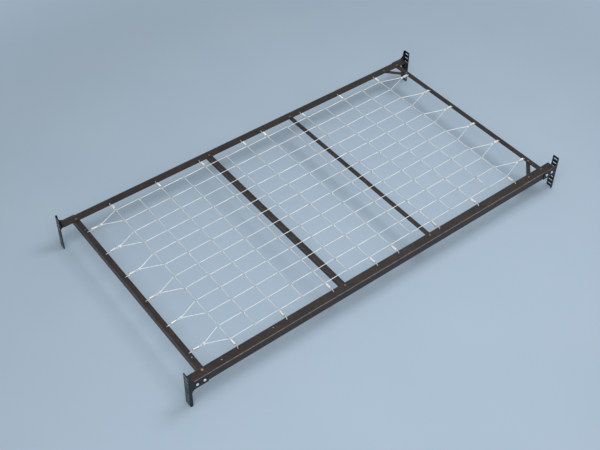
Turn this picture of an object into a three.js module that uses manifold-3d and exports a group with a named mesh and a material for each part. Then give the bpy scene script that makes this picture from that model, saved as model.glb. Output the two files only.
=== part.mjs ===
// Link-spring deck of a metal daybed: a riveted frame of steel angle that carries a net of wire
// on tension springs, with a slotted bracket at each corner that fastens to the bed's arms.
// Millimetres. +X runs along the bed, +Y to its back and +Z up.
// The origin is on the ground, under the middle of the frame.

import * as THREE from "three";
import { mergeVertices } from "three/addons/utils/BufferGeometryUtils.js";
import Module from "manifold-3d";

const wasm = await Module();
wasm.setup();

// Frame of angle sections
const frameWidth = 1000; // over the outer faces of the side rails
const sleepLength = 1756.8; // between the inner edges of the end rails
const railTop = 132; // height of the side rails' top face
const railOverhang = 45.2; // side rail past the outer face of the end rail
const sideFlange = 38.1;
const sideGauge = 3;
const endFlange = 25.4;
const endGauge = 3;
const braceFlange = 22.2;
const braceGauge = 2.5;
const rootRadius = 3; // inside corner of a rolled angle
const toeRadius = 1.2; // rounded edge of a rolled angle's flange

// Fits
const seatGap = 0.3; // between pieces that rest on each other
const shankGap = 0.3; // round a rivet or bolt in its hole
const boltClearance = 2; // from a bolt's tip to the cut end of an end rail's upright flange
const cutRun = 1; // how far a cut runs past the metal

// Rivets and the straps across the two right corners
const rivetShank = 6;
const rivetHead = 10;
const rivetRim = 0.8;
const rivetHeight = 2.2;
const rivetBevel = 1.4;
const cornerRivetInset = 27; // from the side rail's outer face
const braceRivetInset = 26; // from the side rail's outer face
const strapWidth = 18;
const strapGauge = 3;
const strapRailDistance = 70; // rivet on the side rail, from the end rail's inner edge
const strapRailInset = 23; // rivet on the side rail, from that rail's outer face
const strapEndDistance = 99; // rivet on the end rail, from the side rail's outer face

// Corner brackets
const bracketHeight = 174;
const bracketGauge = 3;
const bendRadius = 5; // outside of the bend
const plateWidth = 34;
const plateCorner = 4;
const stripWidth = 11; // upright strip of the leg beside the rail
const stripRound = 7.5;
const armLength = 84;
const armDepth = 40;
const armTopFillet = 24;
const armBottomFillet = 18;
const armCorner = 3;
const railSetback = 15; // from the rail's end to the slotted plate
const slotLength = 22;
const slotHeight = 6.8;
const slotInset = 7.5; // from the leg's outer face
const slotPitch = 22.2;
const firstSlotOffset = 28; // from the plate's mid height to its nearest slots
const slotsPerHalf = 3;

// Bolts through bracket and rail
const boltShank = 6;
const boltHead = 11;
const boltHeadRim = 0.8;
const boltHeadDome = 2.6;
const boltTip = 3; // thread past the nut
const boltChamfer = 0.8;
const nutWidth = 10; // across its flats
const nutHeight = 5;
const boltDrop = 19.5; // below the rail's top face
const boltEdge = 17; // from the second bolt to the arm's free end

// Tension springs
const springWire = 2.5;
const coilDiameter = 12; // over the wire
const coilLength = 27.2;
const coilLead = 7.4; // from the flange's edge to the coil
const coilTurns = 1.75;
const sideSpringLength = 42.8; // from the side rail's flange to the net
const endSpringLength = 56; // from the end rail's flange to a bridle
const sideHookInset = 10.1; // hole in the side rail, from its flange's edge
const spareHookPlace = -571.5; // a hole that no spring uses, in line with the others
const endHookInset = 8; // hole in the end rail, from its flange's edge
const hookHole = 5.6;
const hookTip = 6; // bent under the flange
const loopWidth = 4; // between the two strands at the net
const loopClear = 2.5; // from the coil to the end of the return strand
const hookAside = 3.2; // from a crosswise wire to the hook beside it

// Net of wire
const netWire = 2.2;
const lengthwiseWires = 12;
const crosswiseWires = 14;
const bridleLength = 89.8; // from a bridle's bar to the first crosswise wire
const bridleBar = 9;
const sprungRows = [0, 2, 4, 6, 7, 9, 11, 13]; // crosswise wires with a spring at each end
const bracedBays = [4, 8]; // bays between crosswise wires that have a brace below

// Fineness of round shapes
const holeSides = 10;
const arcSteps = 2;
const domeSteps = 3;
const curlSteps = 8;
const springSides = 5;

// Sizes that follow from those above
const halfWidth = frameWidth / 2;
const endRailFace = sleepLength / 2 + endFlange;
const railLength = 2 * (endRailFace + railOverhang);
const plateFace = railLength / 2 + railSetback + bracketGauge;
const legFace = halfWidth + seatGap + bracketGauge;
const underRail = railTop - sideGauge - seatGap; // top of what hangs under the side rails
const netLevel = railTop + seatGap + springWire / 2;
const netWidth = frameWidth - 2 * (sideFlange + sideSpringLength);
const netLength = sleepLength - 2 * (endSpringLength + bridleLength);
const rowPitch = netLength / (crosswiseWires - 1);
const columnPitch = netWidth / (lengthwiseWires - 1);
const rivetHole = rivetShank + 2 * shankGap;
const boltHole = boltShank + 2 * shankGap;
const endRivetLine = endRailFace - endFlange / 2;
const boltPlaces = [stripWidth + armTopFillet, armLength - boltEdge];
const strapRailPlace = sleepLength / 2 - strapRailDistance;
const strapEndInset = endGauge + rootRadius + seatGap + strapWidth / 2; // clear of the root
const boltGrip = seatGap + bracketGauge + seatGap + sideGauge + seatGap; // head to nut
const boltReach = boltGrip + nutHeight + boltTip;

const brownEnamel = { color: 0x3f332d, roughness: 0.42, metalness: 0.25 };
const blackEnamel = { color: 0x15171c, roughness: 0.4, metalness: 0.25 };
const brightZinc = { color: 0xd3d5d6, roughness: 0.3, metalness: 0.95 };
const springZinc = { color: 0xc9cac6, roughness: 0.34, metalness: 0.95 };
const netZinc = { color: 0xbcc3c8, roughness: 0.38, metalness: 0.95 };

// Solids that are joined and cut

function solidOf(geometry) {
  const bare = geometry.clone();
  bare.deleteAttribute("normal");
  bare.deleteAttribute("uv");
  const merged = mergeVertices(bare);
  const corners = Array.from(merged.index.array);
  const faces = [];
  for (let i = 0; i < corners.length; i += 3) {
    const [a, b, c] = corners.slice(i, i + 3);
    if (a !== b && b !== c && c !== a) faces.push(a, b, c);
  }
  return new wasm.Manifold(new wasm.Mesh({
    numProp: 3,
    vertProperties: Float32Array.from(merged.attributes.position.array),
    triVerts: Uint32Array.from(faces),
  }));
}

function geometryOf(solid) {
  const mesh = solid.getMesh();
  const geometry = new THREE.BufferGeometry();
  geometry.setAttribute("position", new THREE.BufferAttribute(mesh.vertProperties, 3));
  geometry.setIndex(new THREE.BufferAttribute(mesh.triVerts, 1));
  return geometry;
}

function shaped(blank, { added = [], trims = [], cuts = [] }) {
  let solid = solidOf(blank);
  for (const piece of added) solid = solid.add(solidOf(piece));
  for (const outline of trims) solid = solid.intersect(solidOf(outline));
  for (const cutter of cuts) solid = solid.subtract(solidOf(cutter));
  return geometryOf(solid);
}

// The same shape with its left and right exchanged.
function mirrored(geometry) {
  const copy = geometry.clone().scale(1, -1, 1);
  const corners = copy.index.array;
  for (let i = 0; i < corners.length; i += 3) {
    [corners[i], corners[i + 1]] = [corners[i + 1], corners[i]];
  }
  return copy;
}

// Prisms and round bars

function prismUp(shape, from, to) {
  const prism = new THREE.ExtrudeGeometry(shape, {
    depth: to - from, bevelEnabled: false, curveSegments: arcSteps,
  });
  return prism.translate(0, 0, from);
}

// A shape drawn in X and Z, run along Y.
function prismAcross(shape, from, to) {
  const prism = prismUp(shape, 0, to - from);
  return prism.rotateX(Math.PI / 2).translate(0, to, 0);
}

// A shape drawn in Y and Z, run along X.
function prismAlong(shape, from, to) {
  const prism = prismUp(shape, 0, to - from);
  return prism.rotateX(Math.PI / 2).rotateZ(Math.PI / 2).translate(from, 0, 0);
}

function barUp(diameter, x, y, from, to) {
  const bar = new THREE.CylinderGeometry(diameter / 2, diameter / 2, to - from, holeSides);
  return bar.rotateX(Math.PI / 2).translate(x, y, (from + to) / 2);
}

function barAcross(diameter, x, z, from, to) {
  const bar = new THREE.CylinderGeometry(diameter / 2, diameter / 2, to - from, holeSides);
  return bar.translate(x, (from + to) / 2, z);
}

// A round body about Z, from a profile of radius and height pairs that runs upwards.
function turned(profile) {
  const points = profile.map(([radius, height]) => new THREE.Vector2(radius, height));
  return new THREE.LatheGeometry(points, holeSides).rotateX(Math.PI / 2);
}

// Rolled angle: outer corner at the origin, one flange inwards along Y and one down along Z.
function angleShape(width, gauge) {
  const shape = new THREE.Shape();
  shape.moveTo(0, 0);
  shape.lineTo(width, 0);
  shape.absarc(width - toeRadius, toeRadius - gauge, toeRadius, 0, -Math.PI / 2, true);
  shape.absarc(gauge + rootRadius, -gauge - rootRadius, rootRadius, Math.PI / 2, Math.PI, false);
  shape.absarc(gauge - toeRadius, toeRadius - width, toeRadius, 0, -Math.PI / 2, true);
  shape.lineTo(0, -width);
  return shape;
}

function angleBar(length, width, gauge) {
  return prismAlong(angleShape(width, gauge), -length / 2, length / 2);
}

// A rivet that rises from inside one plate, through another of the given gauge, to its head.
function rivet(x, y, plateTop, plateGauge, throughGauge) {
  const seat = plateTop + throughGauge + 2 * seatGap;
  const shape = turned([
    [0, plateTop - plateGauge / 2],
    [rivetShank / 2, plateTop - plateGauge / 2],
    [rivetShank / 2, seat],
    [rivetHead / 2, seat],
    [rivetHead / 2, seat + rivetRim],
    [rivetHead / 2 - rivetBevel, seat + rivetHeight],
    [0, seat + rivetHeight],
  ]);
  return shape.translate(x, y, 0);
}

function flangeHole(diameter, x, y, gauge) {
  return barUp(diameter, x, y, -gauge - cutRun, cutRun);
}

function rowPlace(row) {
  return row * rowPitch - netLength / 2;
}

// Middle of the bay that follows a crosswise wire.
function bayPlace(row) {
  return rowPlace(row) + rowPitch / 2;
}

function columnPlace(column) {
  return column * columnPitch - netWidth / 2;
}

// Side rail: X along the bed, Y inwards from its outer face, Z up from its top face.
function sideRail() {
  const cuts = [];
  for (const place of [...sprungRows.map(rowPlace), spareHookPlace]) {
    cuts.push(flangeHole(hookHole, place, sideFlange - sideHookInset, sideGauge));
  }
  for (const bay of bracedBays) {
    cuts.push(flangeHole(rivetHole, bayPlace(bay), braceRivetInset, sideGauge));
  }
  for (const end of [-1, 1]) {
    cuts.push(flangeHole(rivetHole, end * endRivetLine, cornerRivetInset, sideGauge));
    cuts.push(flangeHole(rivetHole, end * strapRailPlace, strapRailInset, sideGauge));
    for (const place of boltPlaces) {
      const x = end * (plateFace - place);
      cuts.push(barAcross(boltHole, x, -boltDrop, -cutRun, sideGauge + cutRun));
    }
  }
  return shaped(angleBar(railLength, sideFlange, sideGauge), { cuts });
}

// Length of an angle that fits between the root fillets of the side rails.
const crossLength = frameWidth - 2 * (sideGauge + rootRadius + seatGap);

// End rail: its upright flange stops short of the bolts, and its top flange runs on.
function endRail() {
  const flangeEnd = legFace - boltReach + seatGap - boltClearance;
  const cope = new THREE.Shape();
  cope.moveTo(-cutRun, -endGauge);
  cope.lineTo(-cutRun, -endFlange - cutRun);
  cope.lineTo(endFlange + cutRun, -endFlange - cutRun);
  cope.lineTo(endFlange + cutRun, -endGauge);
  const added = [];
  const cuts = [
    prismAlong(cope, flangeEnd, halfWidth),
    prismAlong(cope, -halfWidth, -flangeEnd),
  ];
  for (const place of bridlePlaces()) {
    cuts.push(flangeHole(hookHole, place, endFlange - endHookInset, endGauge));
  }
  for (const end of [-1, 1]) {
    const x = end * (halfWidth - strapEndDistance);
    cuts.push(flangeHole(rivetHole, x, strapEndInset, endGauge));
    added.push(rivet(end * (halfWidth - cornerRivetInset), endFlange / 2, 0, endGauge, sideGauge));
  }
  return shaped(angleBar(crossLength, endFlange, endGauge), { added, cuts });
}

function crossBrace() {
  const added = [-1, 1].map((end) => {
    const x = end * (halfWidth - braceRivetInset);
    return rivet(x, braceFlange / 2, 0, braceGauge, sideGauge);
  });
  return shaped(angleBar(crossLength, braceFlange, braceGauge), { added });
}

// Corner strap: from its rivet on the side rail along X to its rivet on the end rail, with a
// step down to pass under the end rail. Z is up from its top face at the side rail.
const strapAlong = strapRailDistance + endFlange - strapEndInset;
const strapAside = strapEndDistance - strapRailInset;
const strapRun = Math.hypot(strapAlong, strapAside);
const strapTurn = Math.atan2(strapAside, strapAlong);

function cornerStrap() {
  const round = strapWidth / 2;
  const step = endGauge + seatGap;
  const railPad = round;
  const underFlange = endFlange - strapEndInset + seatGap;
  const endPad = underFlange / Math.cos(strapTurn) + round * Math.tan(strapTurn);
  const side = new THREE.Shape();
  side.moveTo(-round - cutRun, 0);
  side.lineTo(railPad, 0);
  side.lineTo(strapRun - endPad, -step);
  side.lineTo(strapRun + round + cutRun, -step);
  side.lineTo(strapRun + round + cutRun, -step - strapGauge);
  side.lineTo(strapRun - endPad, -step - strapGauge);
  side.lineTo(railPad, -strapGauge);
  side.lineTo(-round - cutRun, -strapGauge);
  const plan = new THREE.Shape();
  plan.absarc(0, 0, round, Math.PI / 2, 1.5 * Math.PI, false);
  plan.absarc(strapRun, 0, round, -Math.PI / 2, Math.PI / 2, false);
  return shaped(prismAcross(side, -round - cutRun, round + cutRun), {
    trims: [prismUp(plan, -step - strapGauge - cutRun, cutRun)],
  });
}

function rivetedStrap() {
  const step = endGauge + seatGap;
  const rivets = [
    rivet(0, 0, 0, strapGauge, sideGauge),
    rivet(strapRun, 0, -step, strapGauge, endGauge),
  ];
  return shaped(cornerStrap(), { added: rivets });
}

// Bracket: X inwards along the rail from the slotted plate's outer face, Y inwards across the
// bed from the leg's outer face, Z up from its foot.
function bracketPlan() {
  const innerBend = bendRadius - bracketGauge;
  const shape = new THREE.Shape();
  shape.moveTo(bendRadius, 0);
  shape.lineTo(armLength + cutRun, 0);
  shape.lineTo(armLength + cutRun, bracketGauge);
  shape.absarc(bendRadius, bendRadius, innerBend, 1.5 * Math.PI, Math.PI, true);
  shape.lineTo(bracketGauge, plateWidth + cutRun);
  shape.lineTo(0, plateWidth + cutRun);
  shape.absarc(bendRadius, bendRadius, bendRadius, Math.PI, 1.5 * Math.PI, false);
  return shape;
}

function legOutline() {
  const armBottom = railTop - armDepth;
  const topTurn = stripWidth + armTopFillet;
  const bottomTurn = stripWidth + armBottomFillet;
  const shape = new THREE.Shape();
  shape.moveTo(-cutRun, 0);
  shape.lineTo(stripWidth, 0);
  shape.absarc(bottomTurn, armBottom - armBottomFillet, armBottomFillet, Math.PI, Math.PI / 2, true);
  shape.absarc(armLength - armCorner, armBottom + armCorner, armCorner, -Math.PI / 2, 0, false);
  shape.absarc(armLength - armCorner, railTop - armCorner, armCorner, 0, Math.PI / 2, false);
  shape.absarc(topTurn, railTop + armTopFillet, armTopFillet, 1.5 * Math.PI, Math.PI, true);
  shape.absarc(stripWidth - stripRound, bracketHeight - stripRound, stripRound, 0, Math.PI / 2, false);
  shape.lineTo(-cutRun, bracketHeight);
  return shape;
}

function plateOutline() {
  const shape = new THREE.Shape();
  shape.moveTo(-cutRun, -cutRun);
  shape.lineTo(plateWidth - plateCorner, -cutRun);
  shape.lineTo(plateWidth - plateCorner, 0);
  shape.absarc(plateWidth - plateCorner, plateCorner, plateCorner, -Math.PI / 2, 0, false);
  shape.absarc(plateWidth - plateCorner, bracketHeight - plateCorner, plateCorner, 0, Math.PI / 2, false);
  shape.lineTo(plateWidth - plateCorner, bracketHeight + cutRun);
  shape.lineTo(-cutRun, bracketHeight + cutRun);
  return shape;
}

function slotShape(height) {
  const end = slotHeight / 2;
  const shape = new THREE.Shape();
  shape.absarc(slotInset + end, height, end, Math.PI / 2, 1.5 * Math.PI, false);
  shape.absarc(slotInset + slotLength - end, height, end, -Math.PI / 2, Math.PI / 2, false);
  return shape;
}

function slotHeights() {
  const heights = [];
  for (let i = 0; i < slotsPerHalf; i += 1) {
    const reach = firstSlotOffset + i * slotPitch;
    heights.push(bracketHeight / 2 - reach, bracketHeight / 2 + reach);
  }
  return heights;
}

function bracket() {
  const trims = [
    prismAcross(legOutline(), -cutRun, plateWidth + 2 * cutRun),
    prismAlong(plateOutline(), -cutRun, armLength + 2 * cutRun),
  ];
  const cuts = slotHeights().map((height) => {
    return prismAlong(slotShape(height), -cutRun, bracketGauge + cutRun);
  });
  for (const place of boltPlaces) {
    cuts.push(barAcross(boltHole, place, railTop - boltDrop, -cutRun, bracketGauge + cutRun));
  }
  return shaped(prismUp(bracketPlan(), -cutRun, bracketHeight + cutRun), { trims, cuts });
}

// Bolt and nut: Z runs from under the head to the tip.
function bolt() {
  const profile = [[0, -boltHeadRim - boltHeadDome]];
  for (let i = domeSteps - 1; i >= 0; i -= 1) {
    const turn = (i / domeSteps) * (Math.PI / 2);
    profile.push([Math.cos(turn) * boltHead / 2, -boltHeadRim - boltHeadDome * Math.sin(turn)]);
  }
  profile.push(
    [boltHead / 2, 0],
    [boltShank / 2, 0],
    [boltShank / 2, boltReach - boltChamfer],
    [boltShank / 2 - boltChamfer, boltReach],
    [0, boltReach],
  );
  return turned(profile).rotateX(-Math.PI / 2);
}

function nut() {
  const corner = nutWidth / 2 / Math.cos(Math.PI / 6);
  const shape = new THREE.Shape();
  for (let i = 0; i < 6; i += 1) {
    const turn = i * Math.PI / 3;
    const x = corner * Math.cos(turn);
    const y = corner * Math.sin(turn);
    if (i === 0) shape.moveTo(x, y);
    else shape.lineTo(x, y);
  }
  const bore = [barUp(boltHole, 0, 0, -cutRun, nutHeight + cutRun)];
  return shaped(prismUp(shape, 0, nutHeight), { cuts: bore }).rotateX(-Math.PI / 2);
}

// Wire forms

// A wire of flat sides along a path of points, closed at both ends. Each section lies in the
// plane that halves the bend there, so every stretch keeps the wire's full thickness.
function wireAlong(path, diameter) {
  const directions = [];
  for (let i = 0; i + 1 < path.length; i += 1) {
    directions.push(path[i + 1].clone().sub(path[i]).normalize());
  }
  const first = directions[0];
  const aside = new THREE.Vector3(0, 1, 0).cross(first).normalize();
  const above = first.clone().cross(aside);
  let ring = [];
  for (let k = 0; k < springSides; k += 1) {
    const turn = (k * 2 * Math.PI) / springSides;
    const corner = path[0].clone();
    corner.addScaledVector(aside, Math.cos(turn) * diameter / 2);
    corner.addScaledVector(above, Math.sin(turn) * diameter / 2);
    ring.push(corner);
  }
  const corners = [...ring];
  for (let i = 1; i < path.length; i += 1) {
    const along = directions[i - 1];
    const face = along.clone().add(directions[i] ?? along).normalize();
    ring = ring.map((corner) => {
      const slide = path[i].clone().sub(corner).dot(face) / along.dot(face);
      return corner.clone().addScaledVector(along, slide);
    });
    corners.push(...ring);
  }
  const faces = [];
  const last = (path.length - 1) * springSides;
  for (let i = 0; i < last; i += springSides) {
    for (let k = 0; k < springSides; k += 1) {
      const next = (k + 1) % springSides;
      faces.push(i + k, i + next, i + springSides + next);
      faces.push(i + k, i + springSides + next, i + springSides + k);
    }
  }
  for (let k = 1; k + 1 < springSides; k += 1) {
    faces.push(0, k + 1, k);
    faces.push(last, last + k, last + k + 1);
  }
  const geometry = new THREE.BufferGeometry().setFromPoints(corners);
  geometry.setIndex(faces);
  return geometry;
}

// Least air between stretches of one wire that are more than a few diameters apart along it.
function leastGap(path, diameter) {
  const apartShare = 2.5;
  const stepShare = 0.2;
  const points = [];
  let travelled = 0;
  for (let i = 0; i + 1 < path.length; i += 1) {
    const length = path[i].distanceTo(path[i + 1]);
    const steps = Math.ceil(length / (stepShare * diameter));
    for (let k = 0; k < steps; k += 1) {
      const place = path[i].clone().lerp(path[i + 1], k / steps);
      points.push({ place, travelled: travelled + (length * k) / steps });
    }
    travelled += length;
  }
  let least = Infinity;
  for (const a of points) {
    for (const b of points) {
      if (b.travelled - a.travelled > apartShare * diameter) {
        least = Math.min(least, a.place.distanceTo(b.place) - diameter);
      }
    }
  }
  return least;
}

// Spring: X from the flange's edge to the net, Z up from the net's level. One end hooks down
// through the flange, and the other passes over a wire of the net and returns below it, on
// the left of the spring's line where side is 1 and on its right where side is -1.
function springPath({ span, inset, gauge, drop, aside, side }) {
  const radius = (coilDiameter - springWire) / 2;
  const under = gauge + 2 * seatGap + springWire;
  const reach = netWire / 2 + seatGap + springWire / 2;
  const path = [
    new THREE.Vector3(hookTip - inset, 0, -drop - under),
    new THREE.Vector3(-inset, 0, -drop - under),
    new THREE.Vector3(-inset, 0, -drop),
  ];
  const steps = coilTurns * curlSteps;
  for (let i = 0; i <= steps; i += 1) {
    const turn = Math.PI + (i * 2 * Math.PI) / curlSteps;
    const x = coilLead + (coilLength * i) / steps;
    path.push(new THREE.Vector3(x, radius * Math.cos(turn), radius * Math.sin(turn)));
  }
  path.push(
    new THREE.Vector3(span + reach, side * aside, reach),
    new THREE.Vector3(span + reach, side * aside, -reach),
    new THREE.Vector3(coilLead + coilLength + loopClear, side * (aside - loopWidth), -reach),
  );
  return path;
}

function spring(kind, place) {
  const path = springPath(place);
  console.log(`${kind} spring: least gap to itself ${leastGap(path, springWire).toFixed(2)} mm`);
  return wireAlong(path, springWire);
}

// Middles between neighbouring pairs of lengthwise wires, where the bridles are pulled.
function bridlePlaces() {
  const places = [];
  for (let column = 0; column + 1 < lengthwiseWires; column += 2) {
    places.push((columnPlace(column) + columnPlace(column + 1)) / 2);
  }
  return places;
}

// Plan of the net as points and the wires between them.
function netPlan() {
  const points = [];
  const wires = [];
  const at = (column, row) => row * lengthwiseWires + column;
  for (let row = 0; row < crosswiseWires; row += 1) {
    for (let column = 0; column < lengthwiseWires; column += 1) {
      points.push(new THREE.Vector2(rowPlace(row), columnPlace(column)));
      if (column > 0) wires.push([at(column - 1, row), at(column, row)]);
      if (row > 0) wires.push([at(column, row - 1), at(column, row)]);
    }
  }
  for (const [row, end] of [[0, -1], [crosswiseWires - 1, 1]]) {
    bridlePlaces().forEach((place, i) => {
      const x = end * (netLength / 2 + bridleLength);
      const bar = points.length;
      points.push(new THREE.Vector2(x, place - bridleBar / 2));
      points.push(new THREE.Vector2(x, place + bridleBar / 2));
      wires.push([bar, bar + 1], [bar, at(2 * i, row)], [bar + 1, at(2 * i + 1, row)]);
    });
  }
  return { points, wires };
}

// A flat net of wires with a diamond section: a ridge above, a ridge below and an edge on each
// side. Round each point the wires' edges meet in one corner between two neighbouring wires.
function net({ points, wires }, diameter) {
  const radius = diameter / 2;
  const spokes = points.map(() => []);
  for (const [a, b] of wires) {
    spokes[a].push({ to: b, turn: points[b].clone().sub(points[a]).angle() });
    spokes[b].push({ to: a, turn: points[a].clone().sub(points[b]).angle() });
  }
  const places = [];
  points.forEach((point) => places.push(new THREE.Vector3(point.x, point.y, radius)));
  points.forEach((point) => places.push(new THREE.Vector3(point.x, point.y, -radius)));
  spokes.forEach((around, i) => {
    around.sort((a, b) => a.turn - b.turn);
    around.forEach((spoke, k) => {
      const next = around[(k + 1) % around.length];
      const half = ((next.turn - spoke.turn + 2 * Math.PI) % (2 * Math.PI)) / 2;
      const reach = radius / Math.sin(half);
      const x = points[i].x + reach * Math.cos(spoke.turn + half);
      const y = points[i].y + reach * Math.sin(spoke.turn + half);
      spoke.left = places.length;
      next.right = places.length;
      places.push(new THREE.Vector3(x, y, 0));
    });
  });
  const faces = [];
  const quad = (a, b, c, d) => faces.push(a, b, c, a, c, d);
  for (const [a, b] of wires) {
    const out = spokes[a].find((spoke) => spoke.to === b);
    const back = spokes[b].find((spoke) => spoke.to === a);
    const [lowA, lowB] = [a + points.length, b + points.length];
    quad(a, b, back.right, out.left);
    quad(b, a, out.right, back.left);
    quad(lowB, lowA, out.left, back.right);
    quad(lowA, lowB, back.left, out.right);
  }
  const geometry = new THREE.BufferGeometry().setFromPoints(places);
  geometry.setIndex(faces);
  return geometry;
}

// Assembly

const daybedDeck = new THREE.Group();

function place(name, geometry, finish, position, turn = 0, parent = daybedDeck) {
  const material = new THREE.MeshStandardMaterial({ ...finish, flatShading: true });
  const mesh = new THREE.Mesh(geometry, material);
  mesh.name = name;
  mesh.position.set(...position);
  mesh.rotation.z = turn;
  parent.add(mesh);
}

const railShape = sideRail();
place("side_rail_near", railShape, brownEnamel, [0, -halfWidth, railTop]);
place("side_rail_far", railShape, brownEnamel, [0, halfWidth, railTop], Math.PI);

const endShape = endRail();
place("end_rail_left", endShape, brownEnamel, [-endRailFace, 0, underRail], -Math.PI / 2);
place("end_rail_right", endShape, brownEnamel, [endRailFace, 0, underRail], Math.PI / 2);

const braceShape = crossBrace();
const [leftFace, rightFace] = bracedBays.map((bay, i) => bayPlace(bay) + (i - 0.5) * braceFlange);
place("cross_brace_left", braceShape, brownEnamel, [leftFace, 0, underRail], -Math.PI / 2);
place("cross_brace_right", braceShape, brownEnamel, [rightFace, 0, underRail], Math.PI / 2);

const strapShape = rivetedStrap();
const strapPlace = halfWidth - strapRailInset;
place("corner_strap_near", strapShape, brownEnamel, [strapRailPlace, -strapPlace, underRail], strapTurn);
place("corner_strap_far", strapShape, brownEnamel, [strapRailPlace, strapPlace, underRail], -strapTurn);

const rightHandBracket = bracket();
const leftHandBracket = mirrored(rightHandBracket);
const boltShape = bolt();
const nutShape = nut();
for (const [acrossName, acrossSign] of [["near", -1], ["far", 1]]) {
  for (const [alongName, alongSign] of [["left", -1], ["right", 1]]) {
    const label = `${acrossName}_${alongName}`;
    const inwards = alongSign * acrossSign;
    const shape = inwards > 0 ? rightHandBracket : leftHandBracket;
    const corner = new THREE.Group();
    corner.position.set(alongSign * plateFace, acrossSign * legFace, 0);
    corner.rotation.z = alongSign > 0 ? Math.PI : 0;
    daybedDeck.add(corner);
    place(`bracket_${label}`, shape, blackEnamel, [0, 0, 0], 0, corner);
    const turn = inwards > 0 ? 0 : Math.PI;
    boltPlaces.forEach((reach, i) => {
      const head = [reach, -inwards * seatGap, railTop - boltDrop];
      const seat = [reach, inwards * (boltGrip - seatGap), railTop - boltDrop];
      place(`bolt_${label}_${i + 1}`, boltShape, brightZinc, head, turn, corner);
      place(`nut_${label}_${i + 1}`, nutShape, brightZinc, seat, turn, corner);
    });
  }
}

const sidePlace = {
  span: sideSpringLength, inset: sideHookInset, gauge: sideGauge, drop: 0, aside: hookAside,
};
const leftHookedSpring = spring("left-hooked side", { ...sidePlace, side: 1 });
const rightHookedSpring = spring("right-hooked side", { ...sidePlace, side: -1 });
const endSpring = spring("end", {
  span: endSpringLength, inset: endHookInset, gauge: endGauge, drop: railTop - underRail, aside: 0, side: 1,
});
for (const [label, sign] of [["near", -1], ["far", 1]]) {
  sprungRows.forEach((row, i) => {
    const x = rowPlace(row);
    const shape = x * sign < 0 ? leftHookedSpring : rightHookedSpring;
    const position = [x, sign * (halfWidth - sideFlange), netLevel];
    place(`spring_${label}_${i + 1}`, shape, springZinc, position, -sign * Math.PI / 2);
  });
}
for (const [label, sign] of [["left", -1], ["right", 1]]) {
  bridlePlaces().forEach((y, i) => {
    const position = [sign * sleepLength / 2, y, netLevel];
    const turn = sign > 0 ? Math.PI : 0;
    place(`spring_${label}_${i + 1}`, endSpring, springZinc, position, turn);
  });
}

place("link_fabric", net(netPlan(), netWire), netZinc, [0, 0, netLevel]);

export default daybedDeck;
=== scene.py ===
"""Looks of the link-spring deck of a metal daybed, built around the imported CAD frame.

Sizes are in millimetres, in the frame of the CAD part: +X along the bed, +Y to its back, +Z up,
and the origin on the ground under the middle of the deck. Meshes are made in metres.
"""

import logging
import math
from collections.abc import Callable, Iterable, Mapping, Sequence
from dataclasses import dataclass
from enum import Enum
from typing import Any

import bmesh
import bpy
from mathutils import Matrix, Vector


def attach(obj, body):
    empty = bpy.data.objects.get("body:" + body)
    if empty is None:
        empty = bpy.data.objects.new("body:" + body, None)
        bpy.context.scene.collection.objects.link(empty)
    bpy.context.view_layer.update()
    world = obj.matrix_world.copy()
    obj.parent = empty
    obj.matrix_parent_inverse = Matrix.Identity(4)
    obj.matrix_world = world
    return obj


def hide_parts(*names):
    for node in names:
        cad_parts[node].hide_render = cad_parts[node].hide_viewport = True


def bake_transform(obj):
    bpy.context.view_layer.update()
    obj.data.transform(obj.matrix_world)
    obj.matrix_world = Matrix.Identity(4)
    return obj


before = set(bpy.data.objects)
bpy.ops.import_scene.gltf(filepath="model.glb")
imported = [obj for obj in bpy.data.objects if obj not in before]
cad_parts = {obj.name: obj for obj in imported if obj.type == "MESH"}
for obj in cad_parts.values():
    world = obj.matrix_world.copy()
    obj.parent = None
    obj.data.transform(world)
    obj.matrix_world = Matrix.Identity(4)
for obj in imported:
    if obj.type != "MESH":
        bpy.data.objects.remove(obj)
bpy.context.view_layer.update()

MM = 0.001
LOG = logging.getLogger("daybed_deck")

Point = tuple[float, float]
Triple = tuple[float, float, float]
Edge = tuple[Vector, Vector]

SIDES = (("near", -1), ("far", 1))
ENDS = (("left", -1), ("right", 1))


class Slot(Enum):
    """Material slots of the record."""

    BROWN_ENAMEL = "brown_enamel"
    BLACK_ENAMEL = "black_enamel"
    BRIGHT_ZINC = "bright_zinc"
    SPRING_ZINC = "spring_zinc"
    NET_ZINC = "net_zinc"


class Body(Enum):
    """Bodies of the CAD part."""

    FRAME = "frame"
    FABRIC = "fabric"


class Axis(Enum):
    """Directions of the frame."""

    X = 0
    Y = 1
    Z = 2


def from_hex(code: int) -> Triple:
    """A colour in linear light from its usual hexadecimal code, by the sRGB curve.

    Args:
        code: The colour as 0xRRGGBB.

    Returns:
        Red, green and blue in linear light.
    """
    parts = [((code >> shift) & 255) / 255 for shift in (16, 8, 0)]
    return tuple(p / 12.92 if p <= 0.04045 else ((p + 0.055) / 1.055) ** 2.4 for p in parts)


# Node trees


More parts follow.
